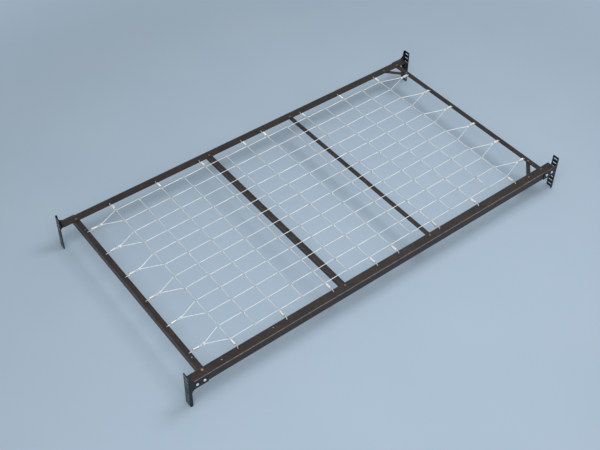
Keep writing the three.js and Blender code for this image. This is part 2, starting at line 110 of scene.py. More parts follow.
class Signal:
    """A number that varies over a surface or among copies, held as a socket of a node tree."""

    def __init__(self, desk: "NodeDesk", socket: bpy.types.NodeSocket) -> None:
        """Keeps the socket and the desk that its maths nodes go to."""
        self.desk = desk
        self.socket = socket

    def __add__(self, other: "Signal | float") -> "Signal":
        """Sum."""
        return self.desk.maths("ADD", self, other)

    __radd__ = __add__

    def __sub__(self, other: "Signal | float") -> "Signal":
        """Difference."""
        return self.desk.maths("SUBTRACT", self, other)

    def __rsub__(self, other: float) -> "Signal":
        """Difference, this one taken away."""
        return self.desk.maths("SUBTRACT", other, self)

    def __mul__(self, other: "Signal | float") -> "Signal":
        """Product."""
        return self.desk.maths("MULTIPLY", self, other)

    __rmul__ = __mul__

    def __truediv__(self, other: "Signal | float") -> "Signal":
        """Quotient."""
        return self.desk.maths("DIVIDE", self, other)

    def __abs__(self) -> "Signal":
        """Size without sign."""
        return self.desk.maths("ABSOLUTE", self)

    def rounded(self) -> "Signal":
        """Nearest whole number."""
        return self.desk.maths("ROUND", self)

    def at_least(self, other: "Signal | float") -> "Signal":
        """The greater of the two."""
        return self.desk.maths("MAXIMUM", self, other)

    def at_most(self, other: "Signal | float") -> "Signal":
        """The smaller of the two."""
        return self.desk.maths("MINIMUM", self, other)

    def eased(self, start: float, end: float) -> "Signal":
        """A smooth step from 0 at start to 1 at end.

        Args:
            start: Value where the step begins. It may be above end.
            end: Value where the step is done.

        Returns:
            The step, from 0 to 1.
        """
        low, high = min(start, end), max(start, end)
        node = self.desk.node(
            "ShaderNodeMapRange",
            {"interpolation_type": "SMOOTHSTEP"},
            {"Value": self, "From Min": low, "From Max": high},
        )
        step = Signal(self.desk, node.outputs["Result"])
        return step if start < end else 1 - step


def reach(first: Signal, second: Signal) -> Signal:
    """Distance from two others at right angles to each other.

    Args:
        first: The one.
        second: The other.

    Returns:
        The distance.
    """
    return first.desk.maths("SQRT", first * first + second * second)


class NodeDesk:
    """Adds nodes to one tree, for a material, the world or geometry."""

    def __init__(self, tree: bpy.types.NodeTree) -> None:
        """Starts with an empty tree."""
        self.tree = tree
        tree.nodes.clear()

    def feed(self, socket: bpy.types.NodeSocket, value: Any) -> None:
        """Links a signal or a socket to an input, or sets its value.

        Args:
            socket: The input.
            value: A Signal, a socket, or a plain value.
        """
        if isinstance(value, Signal):
            self.tree.links.new(value.socket, socket)
        elif isinstance(value, bpy.types.NodeSocket):
            self.tree.links.new(value, socket)
        else:
            socket.default_value = value

    def node(
        self,
        kind: str,
        settings: Mapping[str, Any] | None = None,
        inputs: Mapping[str | int, Any] | None = None,
    ) -> bpy.types.Node:
        """Adds a node.

        Args:
            kind: The node's type.
            settings: Its own settings, which are set first.
            inputs: Values or links for its input sockets, by name or index.

        Returns:
            The node.
        """
        made = self.tree.nodes.new(kind)
        for name, value in (settings or {}).items():
            setattr(made, name, value)
        for key, value in (inputs or {}).items():
            self.feed(made.inputs[key], value)
        return made

    def maths(self, operation: str, *values: "Signal | float") -> Signal:
        """One Math node.

        Args:
            operation: The node's operation.
            values: Its operands.

        Returns:
            The result.
        """
        made = self.node("ShaderNodeMath", {"operation": operation}, dict(enumerate(values)))
        return Signal(self, made.outputs[0])

    def blend(self, share: Signal, first: Any, second: Any) -> bpy.types.NodeSocket:
        """A colour between two others.

        Args:
            share: 0 gives the first and 1 the second.
            first: A colour or a colour socket.
            second: A colour or a colour socket.

        Returns:
            The mixed colour's socket.
        """
        colours = [(*c, 1) if isinstance(c, tuple) else c for c in (first, second)]
        sockets = {0: share, 6: colours[0], 7: colours[1]}
        return self.node("ShaderNodeMix", {"data_type": "RGBA"}, sockets).outputs[2]


@dataclass(frozen=True)
class Surface:
    """Places on a piece's surface, in metres, from its Object coordinates."""

    desk: NodeDesk
    place: bpy.types.NodeSocket
    x: Signal
    y: Signal
    z: Signal

    @classmethod
    def of(cls, desk: NodeDesk) -> "Surface":
        """Reads the Object coordinates.

        Args:
            desk: Where the nodes go.

        Returns:
            The surface.
        """
        place = desk.node("ShaderNodeTexCoord").outputs["Object"]
        parts = desk.node("ShaderNodeSeparateXYZ", inputs={0: place}).outputs
        return cls(desk, place, *(Signal(desk, part) for part in parts))

    def cloud(self, grain: float, detail: float = 2, squeeze: Triple = (1, 1, 1)) -> Signal:
        """Noise of about 0.3 to 0.7.

        Args:
            grain: Size of its blots in millimetres.
            detail: Finer layers on top.
            squeeze: Scale along X, Y and Z, where less than 1 draws the pattern out.

        Returns:
            The noise.
        """
        vector = self.place
        if squeeze != (1, 1, 1):
            vector = self.desk.node("ShaderNodeMapping", None, {0: vector, 3: squeeze}).outputs[0]
        made = self.desk.node(
            "ShaderNodeTexNoise",
            None,
            {"Vector": vector, "Scale": 1 / (grain * MM), "Detail": detail},
        )
        return Signal(self.desk, made.outputs[0])


Rub = Callable[[Surface], Signal]


def start_material(name: str) -> tuple[bpy.types.Material, NodeDesk]:
    """An empty node material.

    Args:
        name: Its name.

    Returns:
        The material and the desk for its tree.
    """
    made = bpy.data.materials.new(name)
    made.use_nodes = True
    return made, NodeDesk(made.node_tree)


def finish_material(
    desk: NodeDesk, varied: Mapping[str, Any], even: Mapping[str, Any], height: Signal, rise: float
) -> None:
    """Adds the shader, its bump and the output.

    Args:
        desk: The material's desk.
        varied: What changes over the surface, by the shader's socket.
        even: What is the same all over, by the shader's socket.
        height: The bump's height, from 0 to 1.
        rise: The bump's height in millimetres.
    """
    bump = desk.node("ShaderNodeBump", None, {"Height": height, "Distance": rise * MM})
    shader = desk.node(
        "ShaderNodeBsdfPrincipled", None, {**even, **varied, "Normal": bump.outputs[0]}
    )
    desk.node("ShaderNodeOutputMaterial", None, {"Surface": shader.outputs[0]})


@dataclass(frozen=True)
class Enamel:
    """Baked enamel on rolled or stamped steel, with wear where it is handled and painted light on
    some heels and slots.

    Coat and shade are its two tones, in broad patches. Sizes of patterns are in millimetres.
    """

    name: str
    slot: Slot
    coat: int
    shade: int
    # The lighter colour of wear, scratches and dust, also used for a painted highlight on heels and
    # painted light round slots.
    rubbed_and_lit: int
    dull: float = 0.36
    blot: float = 60
    orange_peel: float = 2.2
    scratch: float = 1.3
    scratched_patch: float = 24
    speck: float = 2.4
    chip: float = 11
    stretch: float = 0.03
    dust_share: float = 0.05
    scratch_share: float = 0.2
    gloss: float = 0.32
    relief: float = 0.05

    def material(self, part: str, rub: Rub, along: Axis) -> bpy.types.Material:
        """The enamel on one kind of piece.

        Args:
            part: The kind of piece, for the material's name.
            rub: Where that piece has wear and painted light, from 0 to 1.
            along: The axis that the piece and its scratches run along.

        Returns:
            The material.
        """
        made, desk = start_material(f"{self.name}_{part}")
        on = Surface.of(desk)
        squeeze = tuple(self.stretch if axis is along else 1 for axis in Axis)
        broad = on.cloud(self.blot, 2).eased(0.34, 0.66)
        dust = on.cloud(self.blot / 5, 5).eased(0.45, 0.75)
        grit = on.cloud(self.orange_peel, 3)
        patches = on.cloud(self.scratched_patch, 2).eased(0.5, 0.62)
        scratch = on.cloud(self.scratch, 2, squeeze).eased(0.7, 0.74) * patches
        speck = on.cloud(self.speck, 2).eased(0.7, 0.76)
        chip = on.cloud(self.chip, 5).eased(0.36, 0.6)
        # Wear and painted light, which take the lighter colour below.
        wear_and_painted_light = (rub(on) * (0.55 + 0.45 * chip)).at_most(1)
        colour = desk.blend(broad, from_hex(self.shade), from_hex(self.coat))
        marks = scratch.at_least(speck) * self.scratch_share
        colour = desk.blend(dust * self.dust_share, colour, from_hex(self.rubbed_and_lit))
        colour = desk.blend(marks, colour, from_hex(self.rubbed_and_lit))
        colour = desk.blend(wear_and_painted_light, colour, from_hex(self.rubbed_and_lit))
        rough = self.dull + 0.05 * broad + 0.1 * dust + 0.12 * scratch + 0.06 * wear_and_painted_light
        finish_material(
            desk,
            {"Base Color": colour, "Roughness": rough},
            {"Metallic": 0.0, "IOR": 1.5, "Specular IOR Level": self.gloss},
            0.7 * grit + 0.3 * (1 - wear_and_painted_light),
            self.relief,
        )
        return made


@dataclass(frozen=True)
class Zinc:
    """Zinc plate on steel wire or fasteners, bright or dulled by the air.

    Bloom is how far the dull film hides the metal. Sizes of patterns are in millimetres.
    """

    name: str
    slot: Slot
    bright: int
    dulled: int
    rough: float
    grain: float = 5
    bloom: float = 0.35
    # Tone of the painted shade.
    painted_shade_tone: int = 0xA8A49E
    tarnish_share: float = 0.75
    speck_share: float = 0.35
    relief: float = 0.03

    def material(self, painted_shade: Rub | None = None) -> bpy.types.Material:
        """The plate's material.

        Args:
            painted_shade: Where shade is painted on it, from 0 to 1, or None.

        Returns:
            The material.
        """
        made, desk = start_material(self.name)
        on = Surface.of(desk)
        tarnish = on.cloud(self.grain * 6, 3).eased(0.38, 0.66)
        speck = on.cloud(self.grain, 3).eased(0.52, 0.7)
        drawn = on.cloud(self.grain / 8, 2)
        dulled = from_hex(self.dulled)
        colour = desk.blend(tarnish * self.tarnish_share, from_hex(self.bright), dulled)
        colour = desk.blend(speck * self.speck_share, colour, dulled)
        rough = self.rough + 0.12 * tarnish + 0.1 * speck
        metal = 1 - self.bloom * (0.4 + 0.6 * tarnish)
        # Darkens the plate with painted shade where the given mask is high.
        if painted_shade is not None:
            painted_shade_share = painted_shade(on) * (0.4 + 0.3 * speck)
            colour = desk.blend(painted_shade_share, colour, from_hex(self.painted_shade_tone))
            rough = rough + 0.15 * painted_shade_share
        varied = {"Base Color": colour, "Roughness": rough, "Metallic": metal}
        finish_material(desk, varied, {}, drawn, self.relief)
        return made


# Places where the enamel wears, and the painted highlight on the angles' heels


def heel_wear_and_highlight(across: Axis, line: float, height: float, most: float) -> Rub:
    """Wear along the two heels of a mirrored pair of angles, with a painted highlight on them.

    Args:
        across: The direction from the middle of the deck to the heel, X or Y.
        line: The heel's distance from the middle, in millimetres.
        height: The heel's height, in millimetres.
        most: The wear and painted highlight on the heel itself, from 0 to 1.

    Returns:
        The wear and painted highlight.
    """
    sway, edge, core = 3.4 * MM, 3.0 * MM, 0.9 * MM

    def rub(on: Surface) -> Signal:
        """Painted highlight and wear, strongest on the heel and gone some three millimetres away
        from it, unevenly.

        Args:
            on: The surface that is rubbed.

        Returns:
            The painted highlight and wear, from 0 to 1.
        """
        side = abs(on.y if across is Axis.Y else on.x) - line * MM
        uneven = (on.cloud(16, 4) - 0.5) * sway
        # A painted highlight along the heel, mixed with its wear.
        return (reach(side, on.z - height * MM) + uneven).eased(edge, core) * most

    return rub


def rub_faint(on: Surface) -> Signal:
    """A faint rub in patches, for pieces with no edge that is handled."""
    return on.cloud(30, 2).eased(0.6, 0.8) * 0.3


def rub_heads(on: Surface) -> Signal:
    """A light rub on every rivet head, and a heavy one at the near left corner.

    Args:
        on: The surface that is rubbed.

    Returns:
        The rub, from 0 to 1.
    """
    at_left, at_near = (0 - on.x).eased(0.70, 0.72), (0 - on.y).eased(0.30, 0.32)
    every_one = 0.16 + 0.3 * on.cloud(7, 3)
    return every_one.at_least(at_left * at_near * 0.9)


# Shapes drawn flat

LEG_PER_BEND = 2.2


def arc(centre: Point, radius: float, start: float, end: float, steps: int) -> list[Point]:
    """Points of an arc, both ends among them.

    Args:
        centre: The arc's centre.
        radius: Its radius.
        start: Where it starts, in degrees.
        end: Where it ends, in degrees.
        steps: The number of chords.

    Returns:
        The points.
    """
    turns = [math.radians(start + (end - start) * i / steps) for i in range(steps + 1)]
    return [(centre[0] + radius * math.cos(t), centre[1] + radius * math.sin(t)) for t in turns]


def ring(centre: Point, radius: float, steps: int) -> list[Point]:
    """A closed ring of points.

    Args:
        centre: Its centre.
        radius: Its radius.
        steps: The number of points.

    Returns:
        The points.
    """
    return arc(centre, radius, 0, 360, steps)[:-1]


def soft_corners(points: Sequence[Vector], radius: float, steps: int) -> list[Vector]:
    """A path with its inner corners rounded, by bends that don't meet on a short leg.

    Args:
        points: The path's corners.
        radius: How far before and after a corner the bend reaches, at most.
        steps: The number of chords in a bend.

    Returns:
        The rounded path.
    """
    path = [points[0]]
    for before, corner, after in zip(points, points[1:], points[2:]):
        shorter = min((before - corner).length, (after - corner).length)
        cut = min(radius, shorter / LEG_PER_BEND)
        start = corner + (before - corner).normalized() * cut
        end = corner + (after - corner).normalized() * cut
        for i in range(steps + 1):
            share = i / steps
            path.append(start.lerp(corner, share).lerp(corner.lerp(end, share), share))
    path.append(points[-1])
    return path


# Meshes


def new_object(name: str, data: bpy.types.ID) -> bpy.types.Object:
    """Puts a mesh or a curve in the scene as an object at the origin.

    Args:
        name: The object's name.
        data: The mesh or curve.

    Returns:
        The object.
    """
    made = bpy.data.objects.new(name, data)
    bpy.context.scene.collection.objects.link(made)
    return made


def remove_object(unwanted: bpy.types.Object) -> None:
    """Takes an object that only helped to make others out of the file."""
    bpy.data.objects.remove(unwanted)


def settled(source: bpy.types.Object, name: str) -> bpy.types.Object:
    """A plain mesh object of what another object's modifiers make, which goes away.

    Args:
        source: The object with modifiers.
        name: The new object's name.

    Returns:
        The new object.
    """
    graph = bpy.context.evaluated_depsgraph_get()
    evaluated = source.evaluated_get(graph)
    mesh = bpy.data.meshes.new_from_object(
        evaluated, preserve_all_data_layers=True, depsgraph=graph
    )
    remove_object(source)
    mesh.name = name
    return new_object(name, mesh)


def mesh_object(
    name: str, corners: Iterable[Sequence[float]], faces: Iterable[Sequence[int]]
) -> bpy.types.Object:
    """A closed mesh whose faces point outwards.

    Args:
        name: The object's name.
        corners: Corners in millimetres.
        faces: Faces, as indices of corners.

    Returns:
        The object.
    """
    mesh = bpy.data.meshes.new(name)
    mesh.from_pydata([Vector(c) * MM for c in corners], [], list(faces))
    made = new_object(name, mesh)
    tidy_mesh(made)
    return made


def tidy_mesh(piece: bpy.types.Object, merge: float = 0.002) -> None:
    """Merges doubled corners and turns the faces outwards.

    Args:
        piece: The piece.
        merge: How close doubled corners are, in millimetres.
    """
    shape = bmesh.new()
    shape.from_mesh(piece.data)
    bmesh.ops.remove_doubles(shape, verts=shape.verts, dist=merge * MM)
    bmesh.ops.dissolve_degenerate(shape, edges=shape.edges, dist=merge * MM / 4)
    bmesh.ops.recalc_face_normals(shape, faces=shape.faces)
    shape.to_mesh(piece.data)
    shape.free()


def joined(pieces: Sequence[bpy.types.Object], name: str) -> bpy.types.Object:
    """Several mesh objects at the origin, as one.

    Args:
        pieces: The objects, which go away.
        name: The new object's name.

    Returns:
        The new object.
    """
    shape = bmesh.new()
    for piece in pieces:
        shape.from_mesh(piece.data)
    mesh = bpy.data.meshes.new(name)
    shape.to_mesh(mesh)
    shape.free()
    for piece in pieces:
        remove_object(piece)
    return new_object(name, mesh)


def shaded(piece: bpy.types.Object, sharp: float = 40) -> bpy.types.Object:
    """The piece with smooth bends, crisp edges and flat faces that stay flat.

    Args:
        piece: The piece.
        sharp: The least angle of an edge that stays crisp, in degrees.

    Returns:
        The piece, made anew.
    """
    piece.data.shade_smooth()
    piece.data.set_sharp_from_angle(angle=math.radians(sharp))
    level = piece.modifiers.new("level_faces", "WEIGHTED_NORMAL")
    level.keep_sharp = True
    return settled(piece, piece.name)


def moved(piece: bpy.types.Object, place: Matrix) -> bpy.types.Object:
    """The piece with its mesh put in place and its faces outwards.

    Args:
        piece: The piece.
        place: Where it goes, in metres.

    Returns:
        The same piece.
    """
    piece.data.transform(place)
    if place.determinant() < 0:
        piece.data.flip_normals()
    return piece


def swept(name: str, outline: Sequence[Point], start: float, end: float) -> bpy.types.Object:
    """A prism along X from an outline in Y and Z.

    Args:
        name: The object's name.
        outline: The outline's points.
        start: Where it starts along X.
        end: Where it ends along X.

    Returns:
        The object.
    """
    count = len(outline)
    corners = [(x, a, b) for x in (start, end) for a, b in outline]
    faces: list[Sequence[int]] = [
        (i, (i + 1) % count, count + (i + 1) % count, count + i) for i in range(count)
    ]
    faces.append(tuple(range(count)))
    faces.append(tuple(range(2 * count - 1, count - 1, -1)))
    return mesh_object(name, corners, faces)


def turned(
    name: str, profile: Sequence[Point], sides: int, hexagon: float = math.inf
) -> bpy.types.Object:
    """A body turned about X, round or cut by six flats.

    Args:
        name: The object's name.
        profile: Pairs of a place along X and a radius, from axis to axis or as a closed ring.
        sides: The number of sides.
        hexagon: How far the flats are from the axis.

    Returns:
        The object.
    """
    corners = []
    for along, radius in profile:
        for k in range(sides):
            turn = 2 * math.pi * k / sides
            to_flat = (turn + math.pi / 6) % (math.pi / 3) - math.pi / 6
            size = min(radius, hexagon / math.cos(to_flat))
            corners.append((along, size * math.cos(turn), size * math.sin(turn)))
    closed = profile[0][1] > 0
    rows = len(profile) if closed else len(profile) - 1
    faces = []
    for i in range(rows):
        low, high = i * sides, (i + 1) % len(profile) * sides
        for k in range(sides):
            after = (k + 1) % sides
            faces.append((low + k, low + after, high + after, high + k))
    return mesh_object(name, corners, faces)


def cut_by(piece: bpy.types.Object, cutters: Sequence[bpy.types.Object]) -> bpy.types.Object:
    """The piece with the cutters' space taken away.

    Args:
        piece: The piece.
        cutters: Closed meshes that don't overlap, which go away.

    Returns:
        The piece, made anew.
    """
    cutter = joined(cutters, f"{piece.name}_cutter")
    step = piece.modifiers.new("holes", "BOOLEAN")
    step.operation = "DIFFERENCE"
    step.solver = "EXACT"
    step.object = cutter
    made = settled(piece, piece.name)
    remove_object(cutter)
    tidy_mesh(made, 0.001)
    return made


def drill(diameter: float, start: Vector, end: Vector, sides: int = 20) -> bpy.types.Object:
    """A round cutter between two points.

    Args:
        diameter: Its diameter.
        start: One end.
        end: The other end.
        sides: The number of sides.

    Returns:
        The cutter.
    """
    along = end - start
    bar = swept("hole", ring((0, 0), diameter / 2, sides), 0, along.length)
    turn = Vector((1, 0, 0)).rotation_difference(along).to_matrix().to_4x4()
    return moved(bar, Matrix.Translation(start * MM) @ turn)


@dataclass(frozen=True)
class StampedPlate:
    """A flat plate cut to an outline, with holes and softened edges."""

    outline: Sequence[Point]
    holes: Sequence[Sequence[Point]]
    gauge: float
    edge: float = 0.35
    merge: float = 0.004
    snap: float = 1e-4

    def pressed(
        self, name: str, folds: Sequence[float], press: Callable[[Vector], Vector]
    ) -> bpy.types.Object:
        """Cuts the plate, and bends it.

        Args:
            name: The object's name.
            folds: Places along the outline's first direction where the plate may bend.
            press: Where a point of the flat plate goes, in millimetres.

        Returns:
            The plate.
        """
        blank = bpy.data.curves.new(name, "CURVE")
        blank.dimensions = "2D"
        blank.fill_mode = "BOTH"
        blank.extrude = self.gauge / 2 - self.edge
        blank.bevel_depth = self.edge
        blank.bevel_resolution = 1
        blank.offset = -self.edge
        for line in (self.outline, *self.holes):
            spline = blank.splines.new("POLY")
            spline.points.add(len(line) - 1)
            spline.use_cyclic_u = True
            for point, (a, b) in zip(spline.points, line):
                point.co = (a, b, 0, 1)
        flat = settled(new_object(name, blank), name)
        shape = bmesh.new()
        shape.from_mesh(flat.data)
        bmesh.ops.remove_doubles(shape, verts=shape.verts, dist=self.merge)
        for place in folds:
            everything = [*shape.verts, *shape.edges, *shape.faces]
            bmesh.ops.bisect_plane(
                shape, geom=everything, dist=self.snap, plane_co=(place, 0, 0), plane_no=(1, 0, 0)
            )
        for corner in shape.verts:
            corner.co = press(corner.co) * MM
        bmesh.ops.recalc_face_normals(shape, faces=shape.faces)
        shape.to_mesh(flat.data)
        shape.free()
        return flat


# Copies of one form, set along the lines of a plan


class CopyTree:
    """A Geometry Nodes tree that sets a form along every edge of a plan.

    The form is drawn along X with the edge's middle at its origin, and keeps Z up. A wire form is
    a curve that gets the wire's thickness here. A solid form is a mesh.
    """

    INPUTS = {
        "Plan": "NodeSocketGeometry",
        "Form": "NodeSocketObject",
        "Wire Diameter": "NodeSocketFloat",
        "Wire Sides": "NodeSocketInt",
        "Drift": "NodeSocketFloat",
        "Drift Size": "NodeSocketFloat",
        "Calm Length": "NodeSocketFloat",
        "Calm Width": "NodeSocketFloat",
        "Turn": "NodeSocketFloat",
        "Seed": "NodeSocketInt",
        "Finish": "NodeSocketMaterial",
    }
    USUAL = {"Wire Sides": 5, "Seed": 3}
    CALM_FADE = 0.09

    def __init__(self, name: str, wire: bool) -> None:
        """Builds the tree.

        Args:
            name: The tree's name.
            wire: Whether the form is a wire's path.
        """
        self.tree = bpy.data.node_groups.new(name, "GeometryNodeTree")
        self.desk = NodeDesk(self.tree)
        face = self.tree.interface
        self.sockets = {
            label: face.new_socket(label, in_out="INPUT", socket_type=kind).identifier
            for label, kind in self.INPUTS.items()
        }
        face.new_socket("Copies", in_out="OUTPUT", socket_type="NodeSocketGeometry")
        self.given = self.desk.node("NodeGroupInput").outputs
        form = self._form(wire)
        copies = self._set_out(form)
        real = self.desk.node("GeometryNodeRealizeInstances", None, {"Geometry": copies})
        drifted = self._drifted(real.outputs[0])
        smooth = self.desk.node("GeometryNodeSetShadeSmooth", None, {"Geometry": drifted})
        finished = self.desk.node(
            "GeometryNodeSetMaterial",
            None,
            {"Geometry": smooth.outputs[0], "Material": self.given["Finish"]},
        )
        self.desk.node("NodeGroupOutput", None, {0: finished.outputs[0]})

    def _number(self, label: str) -> Signal:
        """One of the tree's inputs, for maths."""
        return Signal(self.desk, self.given[label])

    def _form(self, wire: bool) -> bpy.types.NodeSocket:
        """The form as a mesh.

        Args:
            wire: Whether the form is a wire's path.

        Returns:
            The mesh's socket.
        """
        source = self.desk.node("GeometryNodeObjectInfo", None, {"Object": self.given["Form"]})
        if not wire:
            return source.outputs["Geometry"]
        radius = self._number("Wire Diameter") * 0.5
        section = self.desk.node(
            "GeometryNodeCurvePrimitiveCircle",
            {"mode": "RADIUS"},
            {"Resolution": self.given["Wire Sides"], "Radius": radius},
        )
        line = source.outputs["Geometry"]
        tube = self.desk.node(
            "GeometryNodeCurveToMesh",
            None,
            {"Curve": line, "Profile Curve": section.outputs[0], "Fill Caps": True},
        )
        return tube.outputs[0]

    def _set_out(self, form: bpy.types.NodeSocket) -> bpy.types.NodeSocket:
        """Copies of the form on the plan's edges.

        Args:
            form: The form.

        Returns:
            The copies.
        """
        ends = self.desk.node("GeometryNodeInputMeshEdgeVertices").outputs
        along = self.desk.node(
            "ShaderNodeVectorMath",
            {"operation": "SUBTRACT"},
            {0: ends["Position 2"], 1: ends["Position 1"]},
        )
        noted = self.desk.node("GeometryNodeCaptureAttribute", {"domain": "EDGE"})
        noted.capture_items.new("VECTOR", "Along")
        self.desk.feed(noted.inputs["Geometry"], self.given["Plan"])
        self.desk.feed(noted.inputs["Along"], along.outputs[0])
        direction = noted.outputs["Along"]
        points = self.desk.node(
            "GeometryNodeMeshToPoints", {"mode": "EDGES"}, {"Mesh": noted.outputs["Geometry"]}
        )
        level = self.desk.node(
            "FunctionNodeAlignRotationToVector",
            {"axis": "X", "pivot_axis": "Z"},
            {"Vector": direction},
        )
        pitched = self.desk.node(
            "FunctionNodeAlignRotationToVector",
            {"axis": "X", "pivot_axis": "Y"},
            {"Rotation": level.outputs[0], "Vector": direction},
        )
        most = self._number("Turn")
        chance = self.desk.node(
            "FunctionNodeRandomValue",
            {"data_type": "FLOAT"},
            {2: most * -1.0, 3: most, "Seed": self.given["Seed"]},
        )
        roll = self.desk.node(
            "FunctionNodeAxisAngleToRotation",
            None,
            {"Axis": (1, 0, 0), "Angle": chance.outputs[1]},
        )
        turned_too = self.desk.node(
            "FunctionNodeRotateRotation",
            {"rotation_space": "LOCAL"},
            {"Rotation": pitched.outputs[0], "Rotate By": roll.outputs[0]},
        )
        copies = self.desk.node(
            "GeometryNodeInstanceOnPoints",
            None,
            {"Points": points.outputs[0], "Instance": form, "Rotation": turned_too.outputs[0]},
        )
        return copies.outputs[0]

    def _drifted(self, mesh: bpy.types.NodeSocket) -> bpy.types.NodeSocket:
        """The copies pushed a little off their lines, all neighbours alike.

        Args:
            mesh: The copies.

        Returns:
            The copies, drifted. Where the deck's border is near, they stay in place.
        """
        place = self.desk.node("GeometryNodeInputPosition").outputs[0]
        cloud = self.desk.node(
            "ShaderNodeTexNoise",
            {"noise_dimensions": "4D"},
            {
                "Vector": place,
                "W": self._number("Seed"),
                "Scale": self.given["Drift Size"],
                "Detail": 1.0,
            },
        )
        centred = self.desk.node(
            "ShaderNodeVectorMath",
            {"operation": "SUBTRACT"},
            {0: cloud.outputs["Color"], 1: (0.5, 0.5, 0.5)},
        )
        parts = self.desk.node("ShaderNodeSeparateXYZ", None, {0: place}).outputs
        x, y = Signal(self.desk, parts[0]), Signal(self.desk, parts[1])
        inside = (self._number("Calm Length") - abs(x)).at_most(self._number("Calm Width") - abs(y))
        strength = inside.eased(0.0, self.CALM_FADE) * self._number("Drift")
        push = self.desk.node(
            "ShaderNodeVectorMath",
            {"operation": "SCALE"},
            {0: centred.outputs[0], "Scale": strength},
        )
        level = self.desk.node(
            "ShaderNodeVectorMath",
            {"operation": "MULTIPLY"},
            {0: push.outputs[0], 1: (1, 1, 0)},
        )
        made = self.desk.node(
            "GeometryNodeSetPosition", None, {"Geometry": mesh, "Offset": level.outputs[0]}
        )
        return made.outputs[0]

    def copies(
        self,
        name: str,
        plan: Sequence[Edge],
        form: bpy.types.Object,
        finish: bpy.types.Material,
        **sizes: float,
    ) -> bpy.types.Object:
        """Sets the form along the plan's edges.

        Args:
            name: The new object's name.
            plan: The two ends of every edge, in millimetres.
            form: The form, which goes away.
            finish: The copies' material.
            **sizes: Other inputs by name, with _ for a space, in metres or radians.

        Returns:
            The copies as one plain mesh.
        """
        mesh = bpy.data.meshes.new(name)
        ends = [end * MM for edge in plan for end in edge]
        mesh.from_pydata(ends, [(2 * i, 2 * i + 1) for i in range(len(plan))], [])
        plan_object = new_object(name, mesh)
        step = plan_object.modifiers.new("copies", "NODES")
        given = {key.replace("_", " ").title(): value for key, value in sizes.items()}
        values = {"Form": form, "Finish": finish, **self.USUAL, **given}
        step.node_group = self.tree
        for key, value in values.items():
            step[self.sockets[key]] = value
        made = settled(plan_object, name)
        remove_object(form)
        return made


def wire_path(name: str, points: Sequence[Vector], middle: float) -> bpy.types.Object:
    """A wire's path as a curve, moved so that the given place along X is its origin.

    Args:
        name: The object's name.
        points: The path's points, in millimetres.
        middle: What becomes the origin.

    Returns:
        The curve.
    """
    line = bpy.data.curves.new(name, "CURVE")
    line.dimensions = "3D"
    spline = line.splines.new("POLY")
    spline.points.add(len(points) - 1)
    for point, place in zip(spline.points, points):
        point.co = (*((place - Vector((middle, 0, 0))) * MM), 1)
    return new_object(name, line)


# What the deck is made of


@dataclass(frozen=True)
class Finishes:
    """All finishes of the deck."""

    # The rails' lighter colour also paints the highlight on their heels.
    rails: Enamel = Enamel(
        "brown_enamel", Slot.BROWN_ENAMEL, coat=0x322822, shade=0x29211D, rubbed_and_lit=0x857A74
    )
    # The brackets' lighter colour also paints the light round their slots.
    brackets: Enamel = Enamel(
        "black_enamel", Slot.BLACK_ENAMEL, coat=0x14161B, shade=0x0F1115, rubbed_and_lit=0x80838C, dull=0.34
    )
    rivets: Enamel = Enamel(
        "rivet_enamel",
        Slot.BROWN_ENAMEL,
        coat=0x43362D,
        shade=0x372B24,
        rubbed_and_lit=0xAC9A85,
        dull=0.34,
        blot=12,
        orange_peel=1.2,
    )
    bright: Zinc = Zinc(
        "bright_zinc",
        Slot.BRIGHT_ZINC,
        bright=0xF9FAFB,
        dulled=0xE0E2E3,
        rough=0.24,
        grain=2.5,
        bloom=0.6,
    )
    springs: Zinc = Zinc(
        "spring_zinc",
        Slot.SPRING_ZINC,
        bright=0xF6F4EF,
        dulled=0xD9D5CE,
        rough=0.3,
        grain=4,
        bloom=0.45,
    )
    net: Zinc = Zinc(
        "net_zinc",
        Slot.NET_ZINC,
        bright=0xF7F7F6,
        dulled=0xE6E7E7,
        rough=0.42,
        grain=6,
        bloom=0.85,
    )


FINISHES = Finishes()


@dataclass(frozen=True)
class DeckPlan:
    """Sizes that several pieces share, in millimetres.

    End spans are the lengths of the springs from the end rail's flange to the bridles, and end
    leads the straight wire before their coils, at the left and at the right.
    """

    gauge: float = 3
    gap: float = 0.3
    half_width: float = 500
    rail_top: float = 132
    under_rail: float = 128.7
    end_heel: float = 903.8
    plate_face: float = 967
    leg_face: float = 503.3
    flange_edge: float = 461.9
    end_flange_edge: float = 878.4
    bolt_height: float = 112.5
    bolt_hole: float = 6.6
    bolts: tuple[float, ...] = (35, 67)
    net_level: float = 133.55
    net_lift: float = 0.6
    net_half_length: float = 732.6
    net_half_width: float = 419.1
    rows: int = 14
    columns: int = 12
    sprung_rows: tuple[int, ...] = (0, 2, 4, 6, 7, 9, 11, 13)
    brace_middle: float = 225.4
    end_spans: tuple[float, float] = (56, 37.5)
    end_leads: tuple[float, float] = (7.4, 3.8)

    def bolt_places(self) -> list[float]:
        """Distances of a corner's bolts from the middle of the deck, along X."""
        return [self.plate_face - place for place in self.bolts]

    def row(self, index: int) -> float:
        """Place of a crosswise row of links along X."""
        return index * 2 * self.net_half_length / (self.rows - 1) - self.net_half_length

    def column(self, index: int) -> float:
        """Place of a lengthwise row of links along Y."""
        return index * 2 * self.net_half_width / (self.columns - 1) - self.net_half_width

    def bridles(self) -> list[float]:
        """Places along Y where pairs of lengthwise rows are drawn together."""
        return [(self.column(i) + self.column(i + 1)) / 2 for i in range(0, self.columns, 2)]


PLAN = DeckPlan()


def mounted(
    piece: bpy.types.Object,
    dress: bpy.types.Material,
    nodes: Sequence[str],
    body: Body = Body.FRAME,
) -> None:
    """Dresses a piece and makes it ride on a body.

    Args:
        piece: The piece.
        dress: Its material.
        nodes: The CAD nodes that it stands for.
        body: The body that it rides on.
    """
    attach(piece, body.value)
    dressed(piece, dress, nodes)


